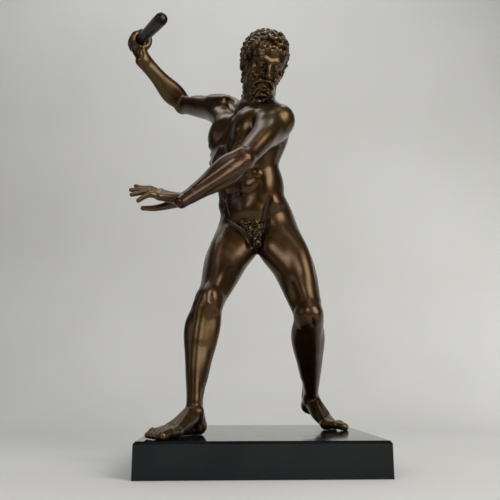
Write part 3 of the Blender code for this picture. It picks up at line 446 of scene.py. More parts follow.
def add_leg(clay, sign, hip, knee, ankle, front, arch, bow):
    """Thigh and shin; arch and bow are how far the middle of each stands out sideways."""
    thigh = Bone(hip, knee, front)

    def on(share, side=0.0, ahead=0.0):
        bend = sign * arch * math.sin(math.pi * min(1.0, max(0.0, share)) ** 2.0)
        return thigh.on(share, side + bend, ahead)

    clay.strand((on(-0.05), on(0.25), on(0.60), on(0.85), on(1.0)),
                (0.047, 0.048, 0.037, 0.026, 0.0225), 0.02)
    clay.muscle(on(0.05, 0.006 * sign, 0.024), on(0.42, 0.004 * sign, 0.026),
                on(0.90, 0, 0.014), 0.026, blend=0.012)
    clay.muscle(on(0.10, 0.024 * sign, 0.002), on(0.45, 0.024 * sign, 0.006),
                on(0.88, 0.014 * sign, 0.008), 0.024, blend=0.012)
    clay.muscle(on(0.45, -0.008 * sign, 0.014), on(0.76, -0.011 * sign, 0.014),
                on(0.97, -0.010 * sign, 0.011), 0.017, blend=0.010)
    clay.muscle(on(0.06, -0.036 * sign, 0.004), on(0.28, -0.031 * sign, -0.004),
                on(0.66, -0.010 * sign, -0.008), 0.033, blend=0.014)
    for side in (-0.012, 0.012):
        clay.muscle(on(0.05, side, -0.020), on(0.5, side, -0.018), on(1.06, side * 1.2, -0.014),
                    0.024, blend=0.010)
    clay.blob(on(0.985, 0, 0.0005), (0.0200, 0.0190, 0.034), thigh, 0.022)
    for side in (-0.013, 0.013):
        clay.blob(on(0.985, side, -0.002), 0.0118, blend=0.014)
    shin = Bone(knee, ankle, front)

    def on(share, side=0.0, ahead=0.0):
        bend = sign * bow * math.sin(math.pi * min(1.0, max(0.0, share)) ** 0.6)
        return shin.on(share, side + bend, ahead)

    clay.blob(on(-0.01, 0, 0.0200), (0.0118, 0.0070, 0.0140), shin, 0.004)
    for side in (-0.0165, 0.0165):
        clay.blob(on(-0.01, side, 0.0215), (0.0040, 0.0060, 0.0130), shin, 0.007, carve=True)
    clay.strand((on(-0.04, 0, 0.004), on(0.14, 0, 0.004), on(0.36, 0, 0.003)),
                (0.0175, 0.0175, 0.0170), 0.012)
    clay.strand((on(0.06, 0, 0.018), on(0.14, 0, 0.017)), (0.0058, 0.0064), 0.006)
    clay.blob(on(0.145, 0, 0.0165), (0.0085, 0.0065, 0.0085), shin, 0.006)
    clay.blob(on(0.070, 0, 0.0170), (0.0145, 0.0060, 0.0095), shin, 0.008)
    clay.strand((on(0.0), on(0.25, 0, -0.004), on(0.6), on(0.85), on(1.0)),
                (0.0225, 0.0270, 0.0215, 0.0165, 0.0160), 0.014)
    clay.strand((on(0.10, -0.004 * sign, 0.014), on(0.5, -0.004 * sign, 0.012),
                 on(0.9, -0.004 * sign, 0.006)), (0.012, 0.009, 0.009), 0.008)
    clay.muscle(on(0.06, 0.012 * sign, 0.006), on(0.30, 0.014 * sign, 0.005),
                on(0.80, 0.003, 0.006), 0.017, blend=0.008)
    clay.muscle(on(-0.03, -0.013 * sign, -0.014), on(0.26, -0.015 * sign, -0.014),
                on(0.70, -0.008 * sign, -0.012), 0.023, blend=0.008)
    clay.muscle(on(0.30, -0.010 * sign, -0.006), on(0.58, -0.009 * sign, -0.006),
                on(0.90, -0.003 * sign, -0.008), 0.0165, blend=0.008)
    clay.muscle(on(-0.03, 0.013 * sign, -0.014), on(0.23, 0.013 * sign, -0.014),
                on(0.60, 0.006 * sign, -0.012), 0.021, blend=0.008)
    clay.strand((on(0.5, 0, -0.014), on(0.8, 0, -0.016), on(1.02, 0, -0.020)),
                (0.015, 0.0085, 0.0085), 0.008)


def add_foot(clay, sign, ankle, heel, ball, toes, up):
    """Heel, arch, instep, tendons and toes between the ankle, the ball and the toe tips."""
    sole = Axes(ankle, up, ball - heel)
    ahead = Axes(ball, (0, 0, 1), toes - ball)
    clay.strand((ankle, heel + sole.along * 0.015 + sole.front * 0.004), (0.015, 0.0165), 0.010)
    clay.strand((ankle - sole.front * 0.012 + sole.along * 0.012, heel + sole.along * 0.020),
                (0.0075, 0.0110), 0.010)
    clay.blob(ankle + sole.side * 0.0135 * sign - sole.along * 0.004, 0.0080, blend=0.006)
    clay.blob(ankle - sole.side * 0.0140 * sign + sole.along * 0.003, 0.0085, blend=0.006)
    middle = (ankle + ball) / 2
    for side, lift, thick in ((-0.011, 0.003, 0.0140), (0.0, 0.003, 0.0135), (0.011, -0.002, 0.0120)):
        clay.strand((ankle + sole.front * 0.002 - sole.along * 0.003,
                     middle + sole.side * side * sign + sole.along * lift,
                     ball + ahead.side * side * 1.35 * sign + ahead.along * 0.0095),
                    (0.0155, thick, 0.0100), 0.008)
    clay.strand((heel + sole.side * 0.008 * sign + sole.along * 0.010,
                 ball + ahead.side * 0.020 * sign + ahead.along * 0.008), (0.012, 0.009), 0.008)
    clay.blob(ahead.at(-0.0165 * sign, 0, 0.0105), (0.0120, 0.0140, 0.0105), ahead, 0.006)
    lengths = (0.043, 0.042, 0.038, 0.033, 0.027)
    thick = (0.0096, 0.0068, 0.0065, 0.0062, 0.0060)
    for index in range(5):
        side = (-0.0190 + 0.0108 * index) * sign
        length = lengths[index]
        size = thick[index]
        root = ahead.at(side, -0.004 - 0.003 * index, 0.0115)
        bend = ahead.at(side * 1.05, length * 0.52, 0.0130 if index else 0.0105)
        knuckle = ahead.at(side * 1.08, length * 0.80, 0.0095)
        tip = ahead.at(side * 1.10, length, 0.0058 if index else 0.0072)
        clay.strand((root, bend, knuckle, tip), (size, size * 0.88, size * 0.86, size * 0.95), 0.0016,
                    steps=3)
        clay.blob(bend + ahead.along * 0.0006, size * 0.98, blend=0.002)
        start = ankle + sole.front * 0.012 + sole.side * sign * (index - 2) * 0.0022 + sole.along * 0.006
        tendon = [skin(clay, start * (1 - share) + root * share - sole.along * 0.006, sole.along, -0.0006)
                  for share in (0.15, 0.55, 0.95)]
        clay.strand(tendon, (0.0016, 0.0021, 0.0020), 0.003)


def add_arm(clay, sign, shoulder, elbow, wrist, flat):
    """Upper arm and forearm; flat is the direction across the broad wrist."""
    upper = Bone(shoulder, elbow, wrist - elbow)
    on = upper.on
    clay.strand((on(0), on(0.5), on(1.0)), (0.030, 0.026, 0.0215), 0.014)
    clay.muscle(on(0.10, 0, 0.008), on(0.52, 0, 0.014), on(0.98, 0, 0.008), 0.022, blend=0.010)
    clay.muscle(on(0.05, 0.004 * sign, -0.008), on(0.45, 0.006 * sign, -0.013),
                on(0.92, 0, -0.008), 0.023, blend=0.010)
    clay.blob(on(1.0, 0, -0.012), (0.011, 0.011, 0.013), upper, 0.008)
    for side in (-0.014, 0.014):
        clay.blob(on(0.97, side, -0.002), 0.0095, blend=0.009)
    fore = Bone(elbow, wrist, shoulder - elbow)
    on = fore.on
    clay.strand((on(0.0), on(0.25), on(0.65), on(0.92)), (0.0215, 0.0225, 0.0165, 0.0125), 0.012)
    clay.muscle(on(-0.12, 0.009 * sign, 0.006), on(0.24, 0.012 * sign, 0.006),
                on(0.78, 0.005 * sign, 0.002), 0.0175, blend=0.007)
    clay.muscle(on(0.02, -0.008 * sign, 0.004), on(0.30, -0.0135 * sign, 0.002),
                on(0.88, -0.005 * sign, 0), 0.0185, blend=0.007)
    for side in (-1, 1):
        clay.strand((on(0.35), on(0.75) + flat * 0.006 * side, on(1.03) + flat * 0.0095 * side),
                    (0.0165, 0.0140, 0.0122), 0.008)
    clay.strand((on(0.0, 0, -0.014), on(0.4, 0, -0.0145), on(0.97, 0, -0.009)),
                (0.0095, 0.0085, 0.0078), 0.004)
    for side in (-1, 1):
        groove = [skin(clay, on(share), fore.turned((side * 0.9, -1, 0)), 0.0006)
                  for share in (0.16, 0.40, 0.66, 0.84)]
        clay.strand(groove, (0.0014, 0.0024, 0.0022, 0.0012), 0.006, carve=True)


def add_shoulders(clay, chest):
    """Deltoids, the webs of muscle to the chest and the back, collar bones and trapezius."""
    neck = np.array(JOINTS["neck"])
    for letter, sign in SIDES:
        shoulder = np.array(JOINTS["shoulder_" + letter])
        elbow = np.array(JOINTS["elbow_" + letter])
        arm = unit(elbow - shoulder)
        top = shoulder + 0.006 * chest.along + 0.004 * sign * chest.side
        clay.blob(top, 0.037, blend=0.016)
        for turn in (-1, 0, 1):
            start = shoulder + chest.along * 0.018 - sign * chest.side * 0.020 + chest.front * 0.020 * turn
            belly = shoulder + arm * 0.035 + chest.along * 0.010 + chest.front * 0.016 * turn
            end = shoulder + arm * 0.110 + chest.along * 0.002
            clay.muscle(start, belly, end, 0.024, blend=0.012)
        breast = chest.at(sign * 0.036, 0.040, 0.028)
        clay.muscle(breast, (chest.at(sign * 0.066, 0.040, 0.030) + shoulder) / 2,
                    shoulder + arm * 0.060 + chest.front * 0.008, 0.027, ends=0.7, blend=0.014)
        blade = chest.at(sign * 0.062, -0.040, 0.000)
        clay.muscle(blade, (chest.at(sign * 0.07, -0.03, 0.02) + shoulder) / 2,
                    shoulder + arm * 0.06 - chest.front * 0.010, 0.028, ends=0.7, blend=0.016)
        collar = (chest.at(sign * 0.008, 0.020, 0.078), chest.at(sign * 0.040, 0.026, 0.070),
                  shoulder + chest.along * 0.030 + chest.front * 0.010)
        clay.strand(collar, (0.0058, 0.0046, 0.0052), 0.009)
        yoke = (neck - chest.front * 0.012 + chest.along * 0.040,
                neck - chest.front * 0.018 + sign * chest.side * 0.026 - chest.along * 0.010,
                shoulder + chest.along * 0.016 - chest.front * 0.010)
        clay.strand(yoke, (0.022, 0.024, 0.017), 0.018)


def head_axes():
    return Axes(JOINTS["head"], (0.30, -0.62, 1.0), (0.22, -1.0, -0.62))


def grown(clay, origin, growth):
    """The same masses, larger, about a fixed origin."""
    larger = []
    for mass in clay.masses:
        kind, spot, size, extra, blend, carve = mass
        larger.append((kind, origin + (spot - origin) * growth, size * growth, extra, blend * growth, carve))
    return larger


def add_neck(clay, chest, head):
    neck = np.array(JOINTS["neck"])
    clay.strand((neck - chest.along * 0.03, neck, head.at(0, -0.012, -0.03)), (0.038, 0.032, 0.031), 0.015)
    for sign in (-1, 1):
        beside = neck + head.side * sign * 0.022 + head.front * 0.014
        clay.strand((chest.at(sign * 0.007, 0.034, 0.080), beside, head.at(sign * 0.034, -0.014, -0.026)),
                    (0.006, 0.009, 0.010), 0.008)


def add_head(clay, head):
    at = head.at
    clay.blob(at(0, -0.008, 0.014), (0.042, 0.051, 0.044), head, 0.015)
    clay.blob(at(0, 0.018, -0.026), (0.031, 0.030, 0.040), head, 0.015)
    clay.blob(at(0, 0.024, 0.018), (0.034, 0.024, 0.028), head, 0.010)
    for sign in (-1, 1):
        clay.blob(at(sign * 0.0235, 0.026, -0.012), (0.011, 0.011, 0.009), head, 0.008)
        clay.blob(at(sign * 0.0158, 0.052, -0.001), (0.0092, 0.0090, 0.0060), head, 0.006, carve=True)
        clay.blob(at(sign * 0.0155, 0.0392, -0.0012), 0.0076, blend=0.001)
        clay.strand((at(sign * 0.0075, 0.0425, -0.0020), at(sign * 0.0155, 0.0450, -0.0054),
                     at(sign * 0.0235, 0.0400, -0.0024)), (0.0010, 0.0013, 0.0010), 0.0015)
        clay.strand((at(sign * 0.004, 0.0475, 0.0085), at(sign * 0.016, 0.046, 0.0115),
                     at(sign * 0.0275, 0.037, 0.007)), (0.0036, 0.0038, 0.0028), 0.006)
        clay.strand((at(sign * 0.007, 0.0430, 0.0002), at(sign * 0.0155, 0.0462, 0.0030),
                     at(sign * 0.0240, 0.0405, 0.0)), (0.0012, 0.0017, 0.0012), 0.0015)
        clay.blob(at(sign * 0.0058, 0.052, -0.0185), (0.0045, 0.006, 0.004), head, 0.003)
        clay.blob(at(sign * 0.042, -0.002, -0.008), (0.004, 0.009, 0.014), head, 0.003)
    clay.strand((at(0, 0.0475, 0.006), at(0, 0.053, -0.006), at(0, 0.061, -0.0175)),
                (0.0042, 0.0042, 0.0052), 0.004)
    clay.strand((at(-0.010, 0.045, -0.0335), at(0, 0.0525, -0.0305), at(0.010, 0.045, -0.0335)),
                (0.002, 0.0034, 0.002), 0.002)
    clay.strand((at(-0.008, 0.045, -0.0375), at(0, 0.0515, -0.0385), at(0.008, 0.045, -0.0375)),
                (0.002, 0.0036, 0.002), 0.002)


def curl(clay, centre, outward, size, turn, blend=0.0012):
    """A snail of hair lying on the surface, wound round the outward direction."""
    outward = unit(outward)
    first = unit(np.cross(outward, (0.31, 0.17, 0.93)))
    second = np.cross(outward, first)
    path = []
    radii = []
    for step in range(6):
        share = step / 5
        angle = turn + share * 1.5 * math.pi
        radius = size * (1.0 - 0.62 * share)
        path.append(centre + (first * math.cos(angle) + second * math.sin(angle)) * radius
                    + outward * size * (0.10 + 0.45 * share))
        radii.append(size * (0.30 + 0.10 * share))
    clay.masses.append(("strand", np.array(path), np.array(radii), None, blend, False))


def add_hair(clay, head):
    """Rows of snail curls over the skull, down the nape and round the brow."""
    golden = math.pi * (3 - math.sqrt(5))
    count = 130
    for index in range(count):
        rise = 1 - 1.55 * (index + 0.5) / count
        ring = math.sqrt(max(0, 1 - rise * rise))
        angle = index * golden
        way = np.array((ring * math.cos(angle), ring * math.sin(angle), rise))
        if way[1] > 0.50 + 0.5 * max(0, way[2]) and way[2] < 0.62:
            continue
        spot = head.at(way[0] * 0.0415, -0.008 + way[1] * 0.0515, 0.014 + way[2] * 0.046)
        curl(clay, spot, head.turned(way), 0.0085, index * 2.4)
    for side, ahead, along in ((0.012, 0.020, 0.056), (0.024, 0.010, 0.050), (0.022, 0.026, 0.047),
                               (-0.002, 0.030, 0.052), (0.010, 0.034, 0.046)):
        spot = head.at(side, ahead, along)
        curl(clay, spot, spot - head.origin, 0.0100, 60 * side)
    for index in range(9):
        swing = (index - 4) / 4
        spot = head.at(0.034 * math.sin(swing * 1.25), 0.006 + 0.036 * math.cos(swing * 1.25), 0.032)
        curl(clay, spot, head.turned((math.sin(swing), 0.8 * math.cos(swing), 0.45)), 0.0078,
             index * 1.9)


def add_beard(clay, head):
    """Locks from the ears round the jaw, three rows deep, and a moustache."""
    for row in range(6):
        count = 11 - row
        for index in range(count):
            swing = ((index - (count - 1) / 2) / ((count - 1) / 2)) * (1.45 - 0.12 * row)
            wide = 0.034 - 0.0038 * row
            spot = head.at(wide * math.sin(swing), 0.004 + (0.044 - 0.003 * row) * math.cos(swing),
                           -0.030 - 0.0105 * row + 0.014 * abs(swing) ** 1.5)
            if row == 0 and abs(swing) < 0.5:
                continue
            way = head.turned((math.sin(swing), math.cos(swing), -0.25 - 0.2 * row))
            curl(clay, spot, way, 0.0084, index * 2.1 + row)
    for sign in (-1, 1):
        clay.strand((head.at(sign * 0.002, 0.0555, -0.0275), head.at(sign * 0.012, 0.051, -0.030),
                     head.at(sign * 0.021, 0.043, -0.039)), (0.0030, 0.0042, 0.0024), 0.0015)


def add_nape(clay, head):
    """Wavy locks from the skull down the neck to the shoulders."""
    neck = np.array(JOINTS["neck"]) - head.front * 0.004
    top = head.at(0, -0.022, -0.016)
    rows = 6
    for row in range(rows):
        share = row / (rows - 1)
        core = top * (1 - share) + neck * share
        count = 12 - row
        for index in range(count):
            swing = (index - (count - 1) / 2) / ((count - 1) / 2) * math.radians(122 - 9 * row)
            way = head.side * math.sin(swing) - head.front * math.cos(swing)
            way = way - head.along * 0.15
            curl(clay, skin(clay, core, way, -0.0048), way, 0.0096, index * 2.3 + row * 1.1, 0.0018)


def left_hand_axes():
    """Along stands up from the back of the hand, front runs to the fingers."""
    return Axes(JOINTS["wrist_l"], (0.15, -0.50, 0.80), (-1.0, 0.02, 0.13))


def add_left_hand(clay):
    """The open hand: palm down and away, fingers fanned, thumb held under."""
    hand = left_hand_axes()
    wrist = hand.origin
    knuckles = [hand.at(0.015 - 0.0118 * index, 0.052 - 0.002 * abs(index - 2), 0.001) for index in range(4)]
    for knuckle in knuckles:
        clay.strand((wrist + hand.front * 0.004, knuckle), (0.0105, 0.0072), 0.005)
        clay.blob(knuckle + hand.along * 0.002, 0.0066, blend=0.003)
    lengths = (0.038, 0.052, 0.056, 0.053)
    fans = (0.30, 0.10, -0.04, -0.14)
    bends = (0.012, 0.008, 0.004, -0.001)
    for knuckle, length, fan, bend in zip(knuckles, lengths, fans, bends):
        way = unit(hand.front + hand.side * fan)
        first = knuckle + way * length * 0.42 + hand.along * 0.003
        second = knuckle + way * length * 0.74 - hand.along * bend * 0.3
        tip = knuckle + way * length - hand.along * bend
        clay.strand((knuckle, first, second, tip), (0.0060, 0.0056, 0.0050, 0.0044), 0.001, steps=3)
        clay.blob(first, 0.0060, blend=0.002)
    clay.strand((hand.at(-0.010, 0.010, -0.008), hand.at(-0.018, 0.032, -0.022),
                 hand.at(-0.016, 0.056, -0.032), hand.at(-0.012, 0.080, -0.036)),
                (0.0115, 0.0085, 0.0064, 0.0050), 0.004)


def club_axes():
    """The club's own axes: along points to its thick end."""
    return Axes(JOINTS["fist"], CLUB_DIRECTION, (0, 0, 1))


def club_radius(distance):
    """Radius at a distance from the butt, in metres, before the round end."""
    share = np.clip(distance / CLUB_LENGTH, 0, 1)
    grip = CLUB_GRIP_FROM_BUTT / CLUB_LENGTH
    stations = (0.0, grip, 0.55, 0.86, 1.0)
    radii = (CLUB_BUTT_RADIUS, CLUB_GRIP_RADIUS, CLUB_GRIP_RADIUS * 1.16, CLUB_END_RADIUS,
             CLUB_END_RADIUS * 0.98)
    return np.interp(share, stations, radii)


def add_fist(clay, club):
    """Four fingers and the thumb closed round the club."""
    wrist = np.array(JOINTS["wrist_r"])
    fist = club.origin
    rise = unit(fist - wrist)
    rise = unit(rise - club.along * np.dot(rise, club.along))
    out = np.cross(club.along, rise)
    grip = CLUB_GRIP_RADIUS / STATURE
    clay.strand((wrist, fist - rise * (grip + 0.010) + out * 0.002), (0.0165, 0.0205), 0.008,
                squash=(club.along, 0.8))
    for index in range(4):
        level = 0.016 - 0.0125 * index
        size = (0.0078, 0.0080, 0.0076, 0.0068)[index]
        circle = grip + size * 0.92
        path = []
        for step in range(9):
            angle = math.radians(-80 - 31 * step)
            path.append(fist + club.along * level + rise * circle * math.sin(angle)
                        * (1.0 + 0.06 * (index == 1)) - out * circle * math.cos(angle))
        path = np.array(path)
        radii = np.array([size * value for value in (1.1, 1.04, 1.12, 1.0, 0.98, 1.04, 0.94, 0.92, 0.84)])
        clay.masses.append(("strand", path, radii, None, 0.0022, False))
        clay.strand((wrist + out * 0.002, path[0]), (0.010, 0.0085), 0.006)
    circle = grip + 0.0085
    thumb = []
    for step in range(7):
        angle = math.radians(-95 + 30 * step)
        thumb.append(fist + club.along * (0.020 + 0.004 * step / 6) + rise * circle * math.sin(angle)
                     - out * circle * math.cos(angle))
    radii = np.array((0.0100, 0.0098, 0.0086, 0.0082, 0.0078, 0.0074, 0.0062))
    clay.masses.append(("strand", np.array(thumb), radii, None, 0.003, False))
    clay.strand((wrist, thumb[0]), (0.0115, 0.0105), 0.008)
    path = []
    bore = []
    for step in (-0.055, 0.020, 0.080):
        path.append(fist + club.along * step)
        here = float(club_radius(CLUB_GRIP_FROM_BUTT + step * STATURE))
        bore.append((here + CLUB_GAP) / STATURE)
    clay.masses.append(("strand", np.array(path), np.array(bore), None, 0.0006, True))


def sculpt():
    """All the masses of the figure, as shares of its stature."""
    clay = Clay()
    pelvis, chest, trunk = trunk_frames()
    place = {name: np.array(spot) for name, spot in JOINTS.items()}
    add_trunk(clay, pelvis, chest, trunk)
    add_shoulders(clay, chest)
    add_torso_relief(clay, chest, trunk)
    add_leg(clay, -1, place["hip_r"], place["knee_r"], place["ankle_r"], (-0.55, -1, 0.2), -0.002, 0.013)
    add_leg(clay, 1, place["hip_l"], place["knee_l"], place["ankle_l"], (0.55, -1, 0.1), 0.010, 0.002)
    heel = np.array((-0.119, -0.078, 0.0))
    ball = np.array((-0.174, -0.165, 0.0))
    add_foot(clay, -1, place["ankle_r"], heel, ball, ball + (ball - heel), (0, 0, 1))
    heel = np.array((0.123, 0.133, 0.036))
    ball = np.array((0.166, 0.062, 0.0))
    add_foot(clay, 1, place["ankle_l"], heel, ball, ball + np.array((0.05, -0.032, 0.0)),
             (0.2, -0.45, 1))
    club = club_axes()
    right_fore = place["wrist_r"] - place["elbow_r"]
    across = {"r": unit(np.cross(right_fore, club.along)), "l": left_hand_axes().side}
    for letter, sign in SIDES:
        shoulder, elbow, wrist = (place[name + letter] for name in ("shoulder_", "elbow_", "wrist_"))
        flat = across[letter]
        add_arm(clay, sign, shoulder, elbow, wrist, flat)
    head = head_axes()
    add_neck(clay, chest, head)
    skull = Clay()
    add_head(skull, head)
    add_hair(skull, head)
    add_beard(skull, head)
    clay.masses += grown(skull, head.origin, HEAD_GROWTH)
    add_nape(clay, head)
    add_groin(clay, pelvis)
    add_left_hand(clay)
    add_fist(clay, club)
    return clay


def stature_to_metres(points):
    """Places in the scene of points given as shares of the figure's height."""
    return np.asarray(points) * STATURE + np.array((0, 0, PLINTH_HEIGHT + SEAT_GAP))


def metres_to_stature(mesh):
    """The mesh's points as shares of the figure's height, the way the clay is laid out."""
    points = np.empty(len(mesh.vertices) * 3)
    mesh.vertices.foreach_get("co", points)
    return (points.reshape(-1, 3) - np.array((0, 0, PLINTH_HEIGHT + SEAT_GAP))) / STATURE


def bead_mesh(clay):
    """Spheres and ellipsoids strung along every mass, all in one mesh."""
    ball = bmesh.new()
    bmesh.ops.create_icosphere(ball, subdivisions=2, radius=1.0)
    corners = np.array([vertex.co[:] for vertex in ball.verts])
    faces = np.array([[vertex.index for vertex in face.verts] for face in ball.faces])
    ball.free()
    points = []
    links = []
    total = 0

    def bead(centre, shape):
        nonlocal total
        points.append(corners @ shape + centre)
        links.append(faces + total)
        total += len(corners)

    for mass in clay.masses:
        if mass[-1]:
            continue
        if mass[0] == "blob":
            _, centre, radii, basis, _, _ = mass
            bead(centre, basis * radii[:, None])
            continue
        _, path, radii, squash, _, _ = mass
        shape = np.eye(3)
        if squash is not None:
            direction = unit(squash[0])
            shape = shape - np.outer(direction, direction) * (1 - squash[1])
        for start, end, wide, narrow in zip(path[:-1], path[1:], radii[:-1], radii[1:]):
            gap = np.linalg.norm(end - start)
            count = max(1, math.ceil(gap / (0.5 * min(wide, narrow))))
            for step in range(count + 1):
                share = step / count
                bead(start + (end - start) * share, shape * (wide + (narrow - wide) * share))
    return np.vstack(points), np.vstack(links)


def new_mesh(name, points, links):
    mesh = bpy.data.meshes.new(name)
    mesh.from_pydata(points.tolist(), [], links.tolist())
    mesh.update()
    return mesh


def apply_modifiers(piece):
    graph = bpy.context.evaluated_depsgraph_get()
    mesh = bpy.data.meshes.new_from_object(piece.evaluated_get(graph))
    old = piece.data
    piece.modifiers.clear()
    piece.data = mesh
    bpy.data.meshes.remove(old)


def remesh(piece, voxel):
    modifier = piece.modifiers.new("Fuse", "REMESH")
    modifier.mode = "VOXEL"
    modifier.voxel_size = voxel
    apply_modifiers(piece)


def largest_island(mesh):
    """Keep the biggest connected skin, so that no stray bead or bubble is left."""
    skin = bmesh.new()
    skin.from_mesh(mesh)
    left = set(skin.verts)
    islands = []
    while left:
        seed = left.pop()
        island = {seed}
        queue = [seed]
        while queue:
            vertex = queue.pop()
            for edge in vertex.link_edges:
                other = edge.other_vert(vertex)
                if other in left:
                    left.discard(other)
                    island.add(other)
                    queue.append(other)
        islands.append(island)
    islands.sort(key=len)
    spare = [vertex for island in islands[:-1] for vertex in island]
    bmesh.ops.delete(skin, geom=spare, context="VERTS")
    skin.to_mesh(mesh)
    skin.free()


def cast(clay, piece, voxels, rounds):
    """Fuse the beads, then draw the skin onto the clay, once for each voxel size."""
    for voxel in voxels:
        remesh(piece, voxel)
        largest_island(piece.data)
        mesh = piece.data
        points = stature_to_metres(draw_onto(metres_to_stature(mesh), clay, rounds))
        mesh.vertices.foreach_set("co", points.ravel())
        mesh.update()


def add_node(tree, kind, links=None, **values):
    """A shader node with its settings, its socket values and what feeds it."""
    node = tree.nodes.new(kind)
    for key, value in values.items():
        if hasattr(node, key) and key not in node.inputs:
            setattr(node, key, value)
        else:
            node.inputs[key.replace("_", " ")].default_value = value
    for key, socket in (links or {}).items():
        tree.links.new(socket, node.inputs[key])
    return node


def ramp(tree, factor, stops):
    node = tree.nodes.new("ShaderNodeValToRGB")
    tree.links.new(factor, node.inputs["Fac"])
    while len(node.color_ramp.elements) > len(stops):
        node.color_ramp.elements.remove(node.color_ramp.elements[-1])
    while len(node.color_ramp.elements) < len(stops):
        node.color_ramp.elements.new(1.0)
    for element, (place, colour) in zip(node.color_ramp.elements, stops):
        element.position = place
        element.color = (*colour, 1.0) if len(colour) == 3 else (colour[0],) * 3 + (1.0,)
    return node.outputs["Color"]


def mix(tree, factor, first, second, kind="MIX"):
    node = tree.nodes.new("ShaderNodeMix")
    node.data_type = "RGBA"
    node.blend_type = kind
    node.clamp_factor = True
    for socket, value in ((node.inputs[0], factor), (node.inputs[6], first), (node.inputs[7], second)):
        if isinstance(value, bpy.types.NodeSocket):
            tree.links.new(value, socket)
        else:
            socket.default_value = value
    return node.outputs[2]


def new_material(name):
    finish = bpy.data.materials.new(name)
    finish.use_nodes = True
    tree = finish.node_tree
    return finish, tree, tree.nodes["Principled BSDF"], add_node(tree, "ShaderNodeTexCoord").outputs["Object"]


def noise(tree, place, scale, detail=4.0, roughness=0.55, distortion=0.0):
    return add_node(tree, "ShaderNodeTexNoise", {"Vector": place}, Scale=scale, Detail=detail,
                    Roughness=roughness, Distortion=distortion).outputs["Fac"]


def bronze(name, dark, warm, olive, rubbed, roughness):
    """Waxed patina over cast bronze, rubbed paler on the high places, with painted shade that darkens the
    hollows to near black.
    """
    finish, tree, shader, place = new_material(name)
    relief = add_node(tree, "ShaderNodeAttribute", attribute_name="relief").outputs["Fac"]
    clouds = noise(tree, place, 13.0, 5.0, 0.6, 0.4)
    drift = noise(tree, place, 31.0, 4.0, 0.6, 0.8)
    mottle = noise(tree, place, 120.0, 4.0, 0.6, 0.3)
    grain = noise(tree, place, 900.0, 3.0, 0.6)
    base = ramp(tree, clouds, ((0.36, dark), (0.55, warm), (0.68, olive)))
    tinted = mix(tree, ramp(tree, drift, ((0.52, (0.0,)), (0.70, (0.7,)))), base, (*olive, 1.0))
    spotted = mix(tree, ramp(tree, mottle, ((0.30, (0.45,)), (0.52, (0.0,)))), tinted, (*dark, 1.0))
    worn = mix(tree, ramp(tree, relief, ((0.62, (0.0,)), (0.95, (0.7,)))), spotted, (*rubbed, 1.0))
    # Painted shade: the deepest hollows are darkened to near black, as if shade fell in them.
    painted_hollow_shade = mix(tree, ramp(tree, relief, ((0.12, (0.95,)), (0.46, (0.0,)))), worn,
                 (0.004, 0.002, 0.0015, 1.0))
    tree.links.new(painted_hollow_shade, shader.inputs["Base Color"])
    shine = add_node(tree, "ShaderNodeMapRange", {"Value": drift}, From_Min=0.3, From_Max=0.7,
                     To_Min=roughness - 0.04, To_Max=roughness + 0.06)
    edge = add_node(tree, "ShaderNodeMapRange", {"Value": relief}, From_Min=0.0, From_Max=0.4,
                    To_Min=0.25, To_Max=0.0)
    rough = add_node(tree, "ShaderNodeMath", {0: shine.outputs[0], 1: edge.outputs[0]}, operation="ADD")
    tree.links.new(rough.outputs[0], shader.inputs["Roughness"])
    shader.inputs["Metallic"].default_value = 0.86
    shader.inputs["Coat Weight"].default_value = 0.45
    shader.inputs["Coat Roughness"].default_value = 0.24
    shader.inputs["Coat IOR"].default_value = 1.5
    pits = noise(tree, place, 230.0, 4.0, 0.6)
    swell = noise(tree, place, 60.0, 3.0, 0.5)
    waves = add_node(tree, "ShaderNodeBump", {"Height": swell}, Strength=0.12, Distance=0.0012)
    bump = add_node(tree, "ShaderNodeBump", {"Height": pits, "Normal": waves.outputs[0]}, Strength=0.14,
                    Distance=0.0005)
    fine = add_node(tree, "ShaderNodeBump", {"Height": grain, "Normal": bump.outputs[0]}, Strength=0.10,
                    Distance=0.0002)
    tree.links.new(fine.outputs[0], shader.inputs["Normal"])
    return finish


def figure_finish():
    return bronze("figure_bronze", (0.034, 0.009, 0.002), (0.078, 0.036, 0.006), (0.076, 0.048, 0.007),
                  (0.150, 0.096, 0.034), 0.36)


def club_finish():
    return bronze("club_bronze", (0.026, 0.014, 0.006), (0.075, 0.043, 0.016), (0.070, 0.046, 0.016),
                  (0.160, 0.110, 0.060), 0.42)


def black_stone():
    """Polished black stone with a soft grey bloom and a few pale specks."""
    finish, tree, shader, place = new_material("black_stone")
    cloud = noise(tree, place, 9.0, 4.0, 0.5, 0.6)
    base = ramp(tree, cloud, ((0.35, (0.004, 0.006, 0.008)), (0.70, (0.010, 0.013, 0.014))))
    cells = add_node(tree, "ShaderNodeTexVoronoi", {"Vector": place}, feature="F1", Scale=420.0)
    speck = ramp(tree, cells.outputs["Distance"], ((0.05, (1.0,)), (0.11, (0.0,))))
    spots = noise(tree, place, 60.0, 2.0, 0.5)
    where = ramp(tree, spots, ((0.66, (0.0,)), (0.72, (1.0,))))
    shown = mix(tree, 1.0, speck, where, "MULTIPLY")
    tree.links.new(mix(tree, shown, base, (0.16, 0.17, 0.16, 1.0)), shader.inputs["Base Color"])
    smear = noise(tree, place, 22.0, 4.0, 0.6, 1.2)
    gloss = add_node(tree, "ShaderNodeMapRange", {"Value": smear}, From_Min=0.3, From_Max=0.7,
                     To_Min=0.05, To_Max=0.14)
    tree.links.new(gloss.outputs[0], shader.inputs["Roughness"])
    shader.inputs["IOR"].default_value = 1.45
    shader.inputs["Specular IOR Level"].default_value = 0.30
    fine = noise(tree, place, 700.0, 3.0, 0.6)
    bump = add_node(tree, "ShaderNodeBump", {"Height": fine}, Strength=0.03, Distance=0.0003)
    tree.links.new(bump.outputs[0], shader.inputs["Normal"])
    return finish


